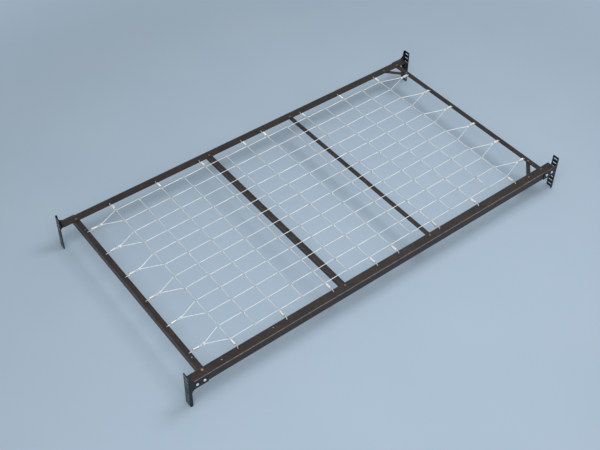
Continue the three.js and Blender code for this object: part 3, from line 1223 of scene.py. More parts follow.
def dressed(
    piece: bpy.types.Object, dress: bpy.types.Material, nodes: Sequence[str]
) -> None:
    """Gives a piece its material, hides the CAD nodes that it stands for, and logs it.

    Args:
        piece: The piece.
        dress: Its material.
        nodes: The CAD nodes that it stands for.
    """
    piece.data.materials.clear()
    piece.data.materials.append(dress)
    if nodes:
        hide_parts(*nodes)
    piece.data.calc_loop_triangles()
    LOG.info("%s: %d triangles", piece.name, len(piece.data.loop_triangles))


@dataclass
class AngleFrame:
    """The riveted frame: side rails, end rails, cross braces and corner straps."""

    side_flange: float = 38.1
    side_gauge: float = PLAN.gauge
    side_half_length: float = 949
    end_flange: float = 25.4
    end_gauge: float = PLAN.gauge
    brace_flange: float = 22.2
    brace_gauge: float = 2.5
    cross_half_length: float = 493.7
    cope_start: float = 486.7
    heel: float = 1.3
    toe: float = 1.2
    root: float = 3
    crest: float = 0.5
    hook_hole: float = 5.6
    side_hook_line: float = 472
    end_hook_line: float = 886.4
    spare_hole: float = -571.5
    rivet_hole: float = 6.6
    corner_rivet: Point = (891.1, 473)
    brace_rivet_line: float = 474
    strap_rail_rivet: Point = (808.4, 477)
    strap_end_rivet: Point = (888.5, 401)
    strap_width: float = 18
    strap_gauge: float = PLAN.gauge
    strap_step: float = 3.3
    strap_end_pad: float = 21.6
    overrun: float = 1
    cope_overrun: float = 5
    cope_floor: float = 90
    # Strength of the wear and painted highlight along each kind of heel.
    side_heel_wear_and_highlight: float = 0.85
    end_heel_wear_and_highlight: float = 0.3
    brace_heel_wear_and_highlight: float = 0.25

    def outline(self, flange: float, gauge: float) -> list[Point]:
        """Section of a rolled angle, with its heel at the origin, one flange along and one down.

        Args:
            flange: The flanges' width.
            gauge: Their thickness.

        Returns:
            The section's outline.
        """
        heel, toe, root, crest = self.heel, self.toe, self.root, self.crest
        return [
            *arc((heel, -heel), heel, 180, 90, 5),
            *arc((flange - crest, -crest), crest, 90, 0, 2),
            *arc((flange - toe, toe - gauge), toe, 0, -90, 4),
            *arc((gauge + root, -gauge - root), root, 90, 180, 6),
            *arc((gauge - toe, toe - flange), toe, 0, -90, 4),
            *arc((crest, crest - flange), crest, -90, -180, 2),
        ]

    def angle(
        self, name: str, half_length: float, flange: float, gauge: float
    ) -> bpy.types.Object:
        """A length of angle along X."""
        return swept(name, self.outline(flange, gauge), -half_length, half_length)

    def drills(self, holes: Iterable[Triple], top: float, gauge: float) -> list[bpy.types.Object]:
        """Upright cutters through a level flange.

        Args:
            holes: Every hole's diameter and its place along X and Y.
            top: The flange's top.
            gauge: Its thickness.

        Returns:
            The cutters.
        """
        low, high = top - gauge - self.overrun, top + self.overrun
        return [drill(size, Vector((x, y, low)), Vector((x, y, high))) for size, x, y in holes]

    def side_rail(self, name: str, sign: int) -> bpy.types.Object:
        """A side rail with its holes.

        Args:
            name: The CAD node that it stands for.
            sign: -1 for the near rail and 1 for the far one.

        Returns:
            The rail.
        """
        gauge = self.side_gauge
        rail = self.angle(f"{name}_finished", self.side_half_length, self.side_flange, gauge)
        place = Matrix.Translation(Vector((0, -PLAN.half_width, PLAN.rail_top)) * MM)
        if sign > 0:
            place = Matrix.Rotation(math.pi, 4, "Z") @ place
        moved(rail, place)
        hooked = [*(PLAN.row(row) for row in PLAN.sprung_rows), -sign * self.spare_hole]
        holes = [(self.hook_hole, x, sign * self.side_hook_line) for x in hooked]
        riveted = (
            self.corner_rivet,
            (PLAN.brace_middle, self.brace_rivet_line),
            self.strap_rail_rivet,
        )
        holes += [(self.rivet_hole, end * x, sign * y) for end in (-1, 1) for x, y in riveted]
        cutters = self.drills(holes, PLAN.rail_top, gauge)
        inner, outer = PLAN.half_width - gauge - self.overrun, PLAN.half_width + self.overrun
        for x in (end * bolt for end in (-1, 1) for bolt in PLAN.bolt_places()):
            start, stop = (Vector((x, sign * y, PLAN.bolt_height)) for y in (inner, outer))
            cutters.append(drill(PLAN.bolt_hole, start, stop))
        return cut_by(rail, cutters)

    def cross_angle(
        self, name: str, heel_x: float, flange: float, gauge: float
    ) -> bpy.types.Object:
        """An angle across the bed, with its heel away from the middle.

        Args:
            name: The CAD node that it stands for.
            heel_x: Where its heel is along X.
            flange: Its flanges' width.
            gauge: Their thickness.

        Returns:
            The angle.
        """
        bar = self.angle(f"{name}_finished", self.cross_half_length, flange, gauge)
        turn = math.pi / 2 if heel_x > 0 else -math.pi / 2
        place = Matrix.Translation(Vector((heel_x, 0, PLAN.under_rail)) * MM)
        return moved(bar, place @ Matrix.Rotation(turn, 4, "Z"))

    def end_rail(self, name: str, sign: int) -> bpy.types.Object:
        """An end rail with its holes and coped ends.

        Args:
            name: The CAD node that it stands for.
            sign: -1 for the left rail and 1 for the right one.

        Returns:
            The rail.
        """
        rail = self.cross_angle(name, sign * PLAN.end_heel, self.end_flange, self.end_gauge)
        holes = [(self.hook_hole, sign * self.end_hook_line, y) for y in PLAN.bridles()]
        riveted = (self.strap_end_rivet, self.corner_rivet)
        holes += [(self.rivet_hole, sign * x, side * y) for side in (-1, 1) for x, y in riveted]
        cutters = self.drills(holes, PLAN.under_rail, self.end_gauge)
        top, low = PLAN.under_rail - self.end_gauge, self.cope_floor
        inner = PLAN.end_heel - self.end_flange - self.cope_overrun
        outer = PLAN.end_heel + self.cope_overrun
        for side in (-1, 1):
            near, far = side * self.cope_start, side * (self.cross_half_length + self.cope_overrun)
            cope = [(near, top), (far, top), (far, low), (near, low)]
            cutters.append(swept("cope", cope, *sorted((sign * inner, sign * outer))))
        return cut_by(rail, cutters)

    def brace(self, name: str, sign: int) -> bpy.types.Object:
        """A cross brace with its rivet holes.

        Args:
            name: The CAD node that it stands for.
            sign: -1 for the left brace and 1 for the right one.

        Returns:
            The brace.
        """
        heel_x = sign * (PLAN.brace_middle + self.brace_flange / 2)
        bar = self.cross_angle(name, heel_x, self.brace_flange, self.brace_gauge)
        x, line = sign * PLAN.brace_middle, self.brace_rivet_line
        holes = [(self.rivet_hole, x, y) for y in (-line, line)]
        return cut_by(bar, self.drills(holes, PLAN.under_rail, self.brace_gauge))

    def strap(self, name: str, sign: int) -> bpy.types.Object:
        """A corner strap, stepped down to pass under the end rail.

        Args:
            name: The CAD node that it stands for.
            sign: -1 for the near strap and 1 for the far one.

        Returns:
            The strap.
        """
        start = Vector((self.strap_rail_rivet[0], self.strap_rail_rivet[1]))
        run = Vector((self.strap_end_rivet[0], self.strap_end_rivet[1])) - start
        round_end = self.strap_width / 2
        outline = [
            *arc((0, 0), round_end, 90, 270, 14),
            *arc((run.length, 0), round_end, -90, 90, 14),
        ]
        holes = [ring((x, 0), self.rivet_hole / 2, 16) for x in (0, run.length)]
        first, last = round_end, run.length - self.strap_end_pad

        def press(flat: Vector) -> Vector:
            """Steps the strap down between its two pads."""
            share = min(1, max(0, (flat.x - first) / (last - first)))
            return flat - Vector((0, 0, self.strap_gauge / 2 + share * self.strap_step))

        plate = StampedPlate(outline, holes, self.strap_gauge)
        made = plate.pressed(f"{name}_finished", (first, last), press)
        turn = math.atan2(-sign * abs(run.y), run.x)
        place = Matrix.Translation(Vector((start.x, sign * start.y, PLAN.under_rail)) * MM)
        return moved(made, place @ Matrix.Rotation(turn, 4, "Z"))

    def build(self) -> None:
        """Builds and dresses the frame."""
        finish, brace_heel = FINISHES.rails, PLAN.brace_middle + self.brace_flange / 2
        side_heel_wear_and_highlight = heel_wear_and_highlight(Axis.Y, PLAN.half_width, PLAN.rail_top, self.side_heel_wear_and_highlight)
        end_heel_wear_and_highlight = heel_wear_and_highlight(Axis.X, PLAN.end_heel, PLAN.under_rail, self.end_heel_wear_and_highlight)
        brace_heel_wear_and_highlight = heel_wear_and_highlight(Axis.X, brace_heel, PLAN.under_rail, self.brace_heel_wear_and_highlight)
        side = finish.material("side_rail", side_heel_wear_and_highlight, Axis.X)
        end = finish.material("end_rail", end_heel_wear_and_highlight, Axis.Y)
        brace = finish.material("cross_brace", brace_heel_wear_and_highlight, Axis.Y)
        strap = finish.material("corner_strap", rub_faint, Axis.Y)
        for label, sign in SIDES:
            self.add("side_rail", label, sign, self.side_rail, side)
            self.add("corner_strap", label, sign, self.strap, strap)
        for label, sign in ENDS:
            self.add("end_rail", label, sign, self.end_rail, end)
            self.add("cross_brace", label, sign, self.brace, brace)

    def add(
        self,
        kind: str,
        label: str,
        sign: int,
        make: Callable[[str, int], bpy.types.Object],
        dress: bpy.types.Material,
    ) -> None:
        """Builds a piece, dresses it and puts it on the frame's body.

        Args:
            kind: What it is, as in the name of its CAD node.
            label: Which one it is, as in that name.
            sign: -1 or 1, for the side or end that it is at.
            make: Builds it.
            dress: Its material.
        """
        node = f"{kind}_{label}"
        mounted(shaded(make(node, sign)), dress, (node,))


@dataclass
class CornerBrackets:
    """Four stamped brackets, each with a slotted plate and an arm along the side rail."""

    height: float = 174
    gauge: float = 3
    bend: float = 5
    plate_width: float = 34
    plate_corner: float = 4
    strip: float = 11
    strip_round: float = 7.5
    arm: float = 84
    arm_bottom: float = 92
    top_fillet: float = 24
    bottom_fillet: float = 18
    arm_corner: float = 3
    slot_inset: float = 7.5
    slot_length: float = 22
    slot_height: float = 6.8
    slot_pitch: float = 22.2
    first_slot: float = 28
    slots_per_half: int = 3
    bend_steps: int = 8
    edge: float = 0.45
    worn_heights: Point = (125, 165)
    bend_rub: Point = (3.4, 1.4)
    # Reach of the rub and painted light round the slots.
    rim_rub_and_painted_light: Point = (2.4, 0.5)
    plate_depth: Point = (6, 4)

    def bend_run(self) -> float:
        """Length of the bend along the middle of the sheet."""
        return (self.bend - self.gauge / 2) * math.pi / 2

    def flat_outline(self) -> list[Point]:
        """The blank before it is bent: the arm at positive places and the plate at negative.

        Returns:
            The outline's points, in millimetres.
        """
        shift = self.bend_run() - self.bend
        top = PLAN.rail_top
        strip, arm, corner = self.strip + shift, self.arm + shift, self.arm_corner
        plate = self.bend - self.plate_width
        high, low, round_plate = self.height, 0.0, self.plate_corner
        bottom = (strip + self.bottom_fillet, self.arm_bottom - self.bottom_fillet)
        upper = (strip + self.top_fillet, top + self.top_fillet)
        return [
            *arc((plate + round_plate, low + round_plate), round_plate, 180, 270, 5),
            (strip, low),
            *arc(bottom, self.bottom_fillet, 180, 90, 10),
            *arc((arm - corner, self.arm_bottom + corner), corner, -90, 0, 4),
            *arc((arm - corner, top - corner), corner, 0, 90, 4),
            *arc(upper, self.top_fillet, 270, 180, 12),
            *arc((strip - self.strip_round, high - self.strip_round), self.strip_round, 0, 90, 6),
            *arc((plate + round_plate, high - round_plate), round_plate, 90, 180, 5),
        ]

    def slot_heights(self) -> list[float]:
        """Heights of the slots' middles."""
        reaches = [self.first_slot + i * self.slot_pitch for i in range(self.slots_per_half)]
        return [self.height / 2 + sign * r for sign in (-1, 1) for r in reaches]

    def flat_holes(self) -> list[list[Point]]:
        """Outlines of the slots and the bolt holes on the blank.

        Returns:
            One outline for each opening, in millimetres.
        """
        end = self.slot_height / 2
        inner = self.bend - self.slot_inset - end
        outer = self.bend - self.slot_inset - self.slot_length + end
        holes = [
            [*arc((inner, z), end, -90, 90, 8), *arc((outer, z), end, 90, 270, 8)]
            for z in self.slot_heights()
        ]
        shift = self.bend_run() - self.bend
        for place in PLAN.bolts:
            holes.append(ring((place + shift, PLAN.bolt_height), PLAN.bolt_hole / 2, 18))
        return holes

    def press(self, flat: Vector) -> Vector:
        """Where a point of the blank goes in the bracket's own corner.

        Args:
            flat: The point on the blank, with the sheet's outer side at positive Z.

        Returns:
            X inwards along the rail, Y inwards across the bed, Z up.
        """
        middle, run = self.bend - self.gauge / 2, self.bend_run()
        if flat.x >= run:
            return Vector((self.bend + flat.x - run, self.gauge / 2 - flat.z, flat.y))
        if flat.x <= 0:
            return Vector((self.gauge / 2 - flat.z, self.bend - flat.x, flat.y))
        turn, radius = flat.x / middle, middle + flat.z
        return Vector(
            (self.bend - radius * math.cos(turn), self.bend - radius * math.sin(turn), flat.y)
        )

    def rub(self, on: Surface) -> Signal:
        """Rub on the bend, and rub with painted light round the slots, strongest at the left end.

        Args:
            on: The surface.

        Returns:
            The rub and painted light.
        """
        along = PLAN.plate_face * MM - abs(on.x)
        across = PLAN.leg_face * MM - abs(on.y)
        high = on.z.eased(*(place * MM for place in self.worn_heights))
        bend = reach(along, across).eased(*(place * MM for place in self.bend_rub))
        slot_middle = (self.slot_inset + self.slot_length / 2) * MM
        rise = abs(on.z - self.height / 2 * MM) - self.first_slot * MM
        count = (rise / (self.slot_pitch * MM)).rounded()
        nearest = count.at_least(0).at_most(self.slots_per_half - 1)
        above = rise - nearest * (self.slot_pitch * MM)
        half_run = (self.slot_length - self.slot_height) / 2 * MM
        aside = (abs(across - slot_middle) - half_run).at_least(0)
        rim = reach(aside, above) - self.slot_height / 2 * MM
        # Painted light round the slots on the plate, heaviest on the left brackets, on top of a
        # light rub.
        rim_light_and_rub = rim.eased(*(place * MM for place in self.rim_rub_and_painted_light))
        on_plate = along.eased(*(place * MM for place in self.plate_depth))
        at_left = (0 - on.x).eased(0.90, 0.92)
        on_bend = bend * (0.16 + 0.4 * high)
        return on_bend.at_least(rim_light_and_rub * on_plate * (0.15 + 0.85 * at_left))

    def build(self) -> None:
        """Builds and dresses the four brackets."""
        dress = FINISHES.brackets.material("bracket", self.rub, Axis.Z)
        plate = StampedPlate(self.flat_outline(), self.flat_holes(), self.gauge, self.edge)
        folds = [self.bend_run() * i / self.bend_steps for i in range(self.bend_steps + 1)]
        for across, side in SIDES:
            for along, end in ENDS:
                node = f"bracket_{across}_{along}"
                made = plate.pressed(f"{node}_finished", folds, self.press)
                corner = Vector((end * PLAN.plate_face, side * PLAN.leg_face, 0)) * MM
                place = Matrix.Translation(corner) @ Matrix.Diagonal((-end, -side, 1, 1))
                mounted(shaded(moved(made, place)), dress, (node,))


@dataclass
class Fasteners:
    """Rivets of the frame, and the bolts and nuts of the brackets."""

    rivet_shank: float = 6
    rivet_head: float = 10
    rivet_height: float = 2.2
    rivet_well: float = 3.6
    bolt_head: float = 12.2
    bolt_dome: float = 2.6
    bolt_rim: float = 0.8
    bolt_edge: float = 0.15
    bolt_shank: float = 6
    bolt_reach: float = 14.9
    bolt_tip: float = 1
    dome_steps: int = 6
    thread_pitch: float = 1.25
    thread_depth: float = 0.45
    tip_chamfer: float = 0.8
    nut_width: float = 10
    nut_height: float = 5
    nut_face: float = 0.95
    nut_chamfer: float = 0.55
    nut_sides: int = 36
    bore_gap: float = 0.12
    grip: float = 6.9
    sides: int = 24

    def rivet_form(self, grip: float) -> bpy.types.Object:
        """A tubular rivet along X, its head's seat at the origin and its rolled tail below.

        Args:
            grip: Thickness that it holds together.

        Returns:
            The form.
        """
        head, shank, well = self.rivet_head / 2, self.rivet_shank / 2, self.rivet_well / 2
        high, tail = self.rivet_height, -grip
        hollow = [(high - 1.5, 0), (high - 1.45, well * 0.8), (high - 0.9, well)]
        rolled_head = [
            (high - 0.1, well + 0.5),
            (high, well + 1.1),
            (high - 0.35, head - 0.9),
            (high - 1.0, head - 0.2),
            (0.5, head),
            (0, head - 0.1),
        ]
        hold = [(0, shank), (tail, shank)]
        rolled_tail = [
            (tail, shank + 1.0),
            (tail - 0.5, shank + 1.4),
            (tail - 1.1, shank + 1.2),
            (tail - 1.5, shank + 0.5),
            (tail - 1.3, shank - 0.4),
            (tail + 0.4, shank - 1.0),
            (tail + 0.6, 0),
        ]
        return turned("rivet_form", [*hollow, *rolled_head, *hold, *rolled_tail], self.sides)

    def bolt_form(self) -> bpy.types.Object:
        """A domed bolt along X: its seat at the origin, its thread towards positive X.

        Returns:
            The bolt's form.
        """
        head, shank = self.bolt_head / 2, self.bolt_shank / 2
        edge, pitch = self.bolt_edge, self.thread_pitch
        profile = [(-self.bolt_rim - self.bolt_dome, 0.0)]
        for i in range(1, self.dome_steps + 1):
            turn = math.pi / 2 * i / self.dome_steps
            dome = -self.bolt_rim - self.bolt_dome * math.cos(turn)
            profile.append((dome, head * math.sin(turn)))
        profile += [(-edge, head), (0, head - edge), (0, shank)]
        threads = int((self.bolt_reach - self.grip - self.bolt_tip) / pitch)
        start = self.bolt_reach - self.bolt_tip - threads * pitch
        profile.append((start, shank))
        for i in range(threads):
            crest = start + i * pitch
            profile += [(crest + pitch / 2, shank - self.thread_depth), (crest + pitch, shank)]
        profile += [(self.bolt_reach, shank - self.tip_chamfer), (self.bolt_reach, 0)]
        return turned("bolt_form", profile, self.sides)

    def nut_form(self) -> bpy.types.Object:
        """A chamfered hexagon nut along X, its seat at the origin, round its bore.

        Returns:
            The nut's form.
        """
        flat, bore = self.nut_width / 2, self.bolt_shank / 2 + self.bore_gap
        corner, face = flat / math.cos(math.pi / 6), flat * self.nut_face
        chamfer, height = self.nut_chamfer, self.nut_height
        profile = [
            (0, bore),
            (0, face),
            (chamfer, corner),
            (height - chamfer, corner),
            (height, face),
            (height, bore),
        ]
        return turned("nut_form", profile, self.nut_sides, hexagon=flat)

    def rivet_seats(self, rails: AngleFrame) -> dict[float, list[Vector]]:
        """Seats of the rivets' heads, by the thickness that they hold.

        The straps are as thick as the end rails, so their rivets are alike.

        Args:
            rails: The frame that they join.

        Returns:
            Seats by grip.
        """

        def seats(place: Point, level: float, ends: Sequence[int]) -> list[Vector]:
            """Seats at a place on both sides of the deck, at some of its ends.

            Args:
                place: How far along and across the deck it is from the middle.
                level: The height of the face that the heads lie on.
                ends: -1 for the left end, 1 for the right one.

            Returns:
                The seats.
            """
            return [
                Vector((end * place[0], side * place[1], level + PLAN.gap))
                for end in ends
                for side in (-1, 1)
            ]

        both, right, top = (-1, 1), (1,), PLAN.rail_top
        brace = (PLAN.brace_middle, rails.brace_rivet_line)
        thick = [
            *seats(rails.corner_rivet, top, both),
            *seats(rails.strap_rail_rivet, top, right),
            *seats(rails.strap_end_rivet, PLAN.under_rail, right),
        ]
        held = rails.side_gauge + 2 * PLAN.gap
        return {
            held + rails.end_gauge: thick,
            held + rails.brace_gauge: seats(brace, top, both),
        }

    def build(self, solids: CopyTree, rails: AngleFrame) -> None:
        """Builds and dresses the rivets, bolts and nuts.

        Args:
            solids: The tree that sets out solid forms.
            rails: The frame that the rivets join.
        """
        self.build_rivets(solids, rails)
        self.build_bolts(solids)

    def build_rivets(self, solids: CopyTree, rails: AngleFrame) -> None:
        """Builds and dresses the rivets.

        Args:
            solids: The tree that sets out solid forms.
            rails: The frame that they join.
        """
        dress, up = FINISHES.rivets.material("heads", rub_heads, Axis.Z), Vector((0, 0, 1))
        kinds = []
        for grip, seats in self.rivet_seats(rails).items():
            plan = [(seat - up, seat + up) for seat in seats]
            form = self.rivet_form(grip)
            kinds.append(solids.copies("rivets", plan, form, dress, turn=math.pi))
        rivets = shaded(joined(kinds, "rivets_finished"), sharp=60)
        mounted(rivets, dress, ())

    def build_bolts(self, solids: CopyTree) -> None:
        """Builds and dresses the bolts and nuts.

        Args:
            solids: The tree that sets out solid forms.
        """
        dress, slot = FINISHES.bright.material(), FINISHES.bright.slot
        labels, head_plan, nut_plan = [], [], []
        for across, side in SIDES:
            for along, end in ENDS:
                for i, x in enumerate(PLAN.bolt_places()):
                    seat = Vector((end * x, side * (PLAN.leg_face + PLAN.gap), PLAN.bolt_height))
                    inwards = Vector((0, -side, 0))
                    nut_seat = seat + inwards * self.grip
                    labels.append(f"{across}_{along}_{i + 1}")
                    head_plan.append((seat - inwards, seat + inwards))
                    nut_plan.append((nut_seat - inwards, nut_seat + inwards))
        bolts = solids.copies("bolts_finished", head_plan, self.bolt_form(), dress, turn=math.pi)
        mounted(shaded(bolts, sharp=50), dress, [f"bolt_{label}" for label in labels])
        nuts = solids.copies(
            "nuts_finished", nut_plan, self.nut_form(), dress, turn=math.pi, seed=8
        )
        mounted(shaded(nuts, sharp=30), dress, [f"nut_{label}" for label in labels])


@dataclass
class TensionSprings:
    """Twenty-eight close-wound springs, hooked in the frame and through the fabric's nodes.

    Lead bend is where the wire turns on its way to the coil, as shares of the lead, the coil's
    radius and the drop. Sizes are in millimetres.
    """

    wire: float = 2.6
    wire_sides: int = 8
    coil: float = 12.8
    lead: float = 7.4
    lead_bend: Triple = (0.55, 0.75, 0.3)
    coil_length: float = 27.2
    steps_per_turn: int = 14
    side_span: float = 42.8
    side_inset: float = 10.1
    end_inset: float = 8
    hook_tip: float = 6
    end_drop: float = 3.3
    hook_rise: float = 3.5
    hook_bend: float = 2.6
    loop_bend: float = 2.2
    loop_leads: Point = (3, 3.2)
    bend_steps: int = 3
    pull: float = 1.35
    winding: float = 1.02
    part_turn: float = 0.25

    def path(self, span: float, inset: float, drop: float, lead: float) -> list[Vector]:
        """A spring's wire from its hook under the flange to its hook at the fabric.

        Args:
            span: From the flange's edge to the fabric's node.
            inset: From the flange's edge to the hook's hole.
            drop: How far the flange's top lies below that of the side rail.
            lead: From the flange's edge to the coil.

        Returns:
            The path, X towards the fabric and Z up, with the flange's edge at 0.
        """
        radius = (self.coil - self.wire) / 2
        under = PLAN.gauge + 2 * PLAN.gap + self.wire
        along, across, below = self.lead_bend
        hook = [
            Vector((self.hook_tip - inset, 0, -drop - under)),
            Vector((-inset, 0, -drop - under)),
            Vector((-inset, 0, -drop)),
            Vector((lead * along, -radius * across, -drop * below)),
            Vector((lead, -radius, 0)),
        ]
        turns = int(self.coil_length / (self.wire * self.winding)) + self.part_turn
        count = int(turns * self.steps_per_turn)
        coil = []
        for i in range(1, count + 1):
            turn = math.pi + i * 2 * math.pi * turns / count
            x = lead + self.coil_length * i / count
            coil.append(Vector((x, radius * math.cos(turn), radius * math.sin(turn))))
        hold, rise = span - self.pull, self.hook_rise
        loop = [
            coil[-1],
            Vector((coil[-1].x + self.loop_leads[0], 0, rise)),
            Vector((hold, 0, rise)),
            Vector((hold, 0, -rise)),
            Vector((coil[-1].x + self.loop_leads[1], 0, -rise)),
        ]
        return [
            *soft_corners(hook, self.hook_bend, self.bend_steps),
            *coil[:-1],
            *soft_corners(loop, self.loop_bend, self.bend_steps),
        ]

    def build(self, wires: CopyTree) -> None:
        """Builds and dresses the springs.

        Args:
            wires: The tree that sets out wire forms.
        """
        dress, level = FINISHES.springs.material(), PLAN.net_level
        for label, sign in SIDES:
            edge, tip = sign * PLAN.flange_edge, sign * PLAN.net_half_width
            rows = [PLAN.row(row) for row in PLAN.sprung_rows]
            plan = [(Vector((x, edge, level)), Vector((x, tip, level))) for x in rows]
            path = self.path(self.side_span, self.side_inset, 0, self.lead)
            form = wire_path("spring_form", path, self.side_span / 2)
            self.add(wires, label, plan, form, dress, self.lead)
        for (label, sign), span, lead in zip(ENDS, PLAN.end_spans, PLAN.end_leads):
            edge = sign * PLAN.end_flange_edge
            tip = edge - sign * span
            plan = [(Vector((edge, y, level)), Vector((tip, y, level))) for y in PLAN.bridles()]
            path = self.path(span, self.end_inset, self.end_drop, lead)
            form = wire_path("spring_form", path, span / 2)
            self.add(wires, label, plan, form, dress, lead)

    def add(
        self,
        wires: CopyTree,
        label: str,
        plan: Sequence[Edge],
        form: bpy.types.Object,
        dress: bpy.types.Material,
        lead: float,
    ) -> None:
        """Sets out the springs of one side, which stretch between the frame and the fabric.

        Args:
            wires: The tree that sets out wire forms.
            label: The side, as in the names of the springs' CAD nodes.
            plan: Each spring's edge, from the flange to the fabric.
            form: The spring's path.
            dress: The springs' material.
            lead: From the flange's edge to the coil.
        """
        sizes = {"wire_diameter": self.wire * MM, "wire_sides": self.wire_sides}
        made = wires.copies(f"springs_{label}", plan, form, dress, **sizes)
        nodes = [f"spring_{label}_{i + 1}" for i in range(len(plan))]
        dressed(made, dress, nodes)
        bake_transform(made)


@dataclass
class LinkFabric:
    """The net of short wire links, hooked together where its rows cross.

    A lengthwise link and a bridle have a flat eye at each end, one above the other where two meet.
    A crosswise link has an upright hook at each end, which goes down through both eyes.
    """

    level: float = PLAN.net_level + PLAN.net_lift
    long_wire: float = 3.0
    cross_wire: float = 2.7
    eye: float = 4.1
    eye_gap: float = 0.05
    eye_lap: float = 5.5
    eye_turn: Point = (204, 512)
    eye_steps: int = 7
    layer: float = 1.35
    pull: float = 1.25
    hook_rise: float = 3.8
    # Reach of the painted shade round each crossing.
    knot_size: float = 11.5
    knot_core: float = 0.55
    drift: float = 0.009
    drift_size: float = 7.0
    calm_past: float = 12
    calm_short: float = 4

    def eye_end(self) -> list[Vector]:
        """The wire of an eye whose link comes from negative X, with the hooks' wires at 0.

        Returns:
            The wire's points, in millimetres.
        """
        centre = (self.long_wire + self.cross_wire) / 2 + self.eye_gap - self.eye
        bend = arc((centre, 0), self.eye, *self.eye_turn, self.eye_steps)
        start = (centre - self.eye - self.eye_lap, 0)
        return [Vector((a, b, 0)) for a, b in (start, *bend)]

    def hook_end(self) -> list[Vector]:
        """The wire of an upright hook whose link comes from negative X.

        Returns:
            The wire's points, in millimetres.
        """
        rise = self.hook_rise
        over = [(-11.5, 0), (-6.6, rise), (-2.0, rise), (-0.3, rise - 1.4)]
        under = [(0, 0), (-0.3, 1.4 - rise), (-2.0, -rise), (-7.2, 0.5 - rise)]
        return [Vector((x, 0, z)) for x, z in (*over, *under)]

    def link(self, name: str, end: Sequence[Vector], length: float) -> bpy.types.Object:
        """A link with the same end at both its ends.

        Args:
            name: The object's name.
            end: One end's wire, for a link that comes from negative X.
            length: Between the points that the ends hold.

        Returns:
            The link's path.
        """
        right = [p + Vector((length / 2, 0, 0)) for p in end]
        left = [Vector((-p.x, -p.y, p.z)) for p in reversed(right)]
        return wire_path(name, left + right, 0)

    def lengthwise(self) -> list[Edge]:
        """Edges of the lengthwise links, from left to right.

        Returns:
            The edges.
        """
        low, high = self.level - self.layer, self.level + self.layer
        return [
            (
                Vector((PLAN.row(r), PLAN.column(c), low)),
                Vector((PLAN.row(r + 1), PLAN.column(c), high)),
            )
            for c in range(PLAN.columns)
            for r in range(PLAN.rows - 1)
        ]

    def crosswise(self) -> list[Edge]:
        """Edges of the crosswise links, from near to far.

        Returns:
            The edges.
        """
        return [
            (
                Vector((PLAN.row(r), PLAN.column(c) + self.pull, self.level)),
                Vector((PLAN.row(r), PLAN.column(c + 1) - self.pull, self.level)),
            )
            for r in range(PLAN.rows)
            for c in range(PLAN.columns - 1)
        ]

    def bridles(self, end: int) -> list[Edge]:
        """Edges of one end's bridles, from the springs to the last crosswise row.

        Args:
            end: -1 for the left end, 1 for the right one.

        Returns:
            The edges.
        """
        edges = []
        tip = end * (PLAN.end_flange_edge - PLAN.end_spans[(end + 1) // 2])
        node = end * PLAN.net_half_length
        for i, y in enumerate(PLAN.bridles()):
            for k in (0, 1):
                at_tip = Vector((tip, y, self.level + (2 * k - 1) * self.layer))
                at_node = Vector((node, PLAN.column(2 * i + k), self.level - end * self.layer))
                edges.append((at_tip, at_node))
        return edges

    def knot_shade(self, on: Surface) -> Signal:
        """Painted shade where the links hook into one another.

        Args:
            on: The net's surface.

        Returns:
            The painted shade, from 0 to 1.
        """
        off = []
        for place, line in ((on.x, PLAN.row), (on.y, PLAN.column)):
            pitch = (line(1) - line(0)) * MM
            count = (place - line(0) * MM) / pitch
            off.append((count - count.rounded()) * pitch)
        return reach(*off).eased(self.knot_size * MM, self.knot_size * self.knot_core * MM)

    def build(self, wires: CopyTree) -> None:
        """Builds and dresses the fabric.

        Args:
            wires: The tree that sets out wire forms.
        """
        # The net is darkened by painted shade where the links hook together.
        dress = FINISHES.net.material(self.knot_shade)
        sizes = {
            "drift": self.drift,
            "drift_size": self.drift_size,
            "calm_length": (PLAN.net_half_length + self.calm_past) * MM,
            "calm_width": (PLAN.net_half_width - self.calm_short) * MM,
        }
        pieces = []
        plans = (
            ("lengthwise", self.lengthwise(), self.eye_end(), self.long_wire),
            ("crosswise", self.crosswise(), self.hook_end(), self.cross_wire),
            ("left_bridle", self.bridles(-1), self.eye_end(), self.long_wire),
            ("right_bridle", self.bridles(1), self.eye_end(), self.long_wire),
        )
        for kind, plan, end, wire in plans:
            first, last = plan[0]
            form = self.link(f"{kind}_form", end, (last - first).length)
            links = wires.copies(
                f"{kind}_links", plan, form, dress, wire_diameter=wire * MM, **sizes
            )
            pieces.append(links)
        fabric = joined(pieces, "link_fabric_finished")
        mounted(fabric, dress, ("link_fabric",), Body.FABRIC)


# Where the deck is shown


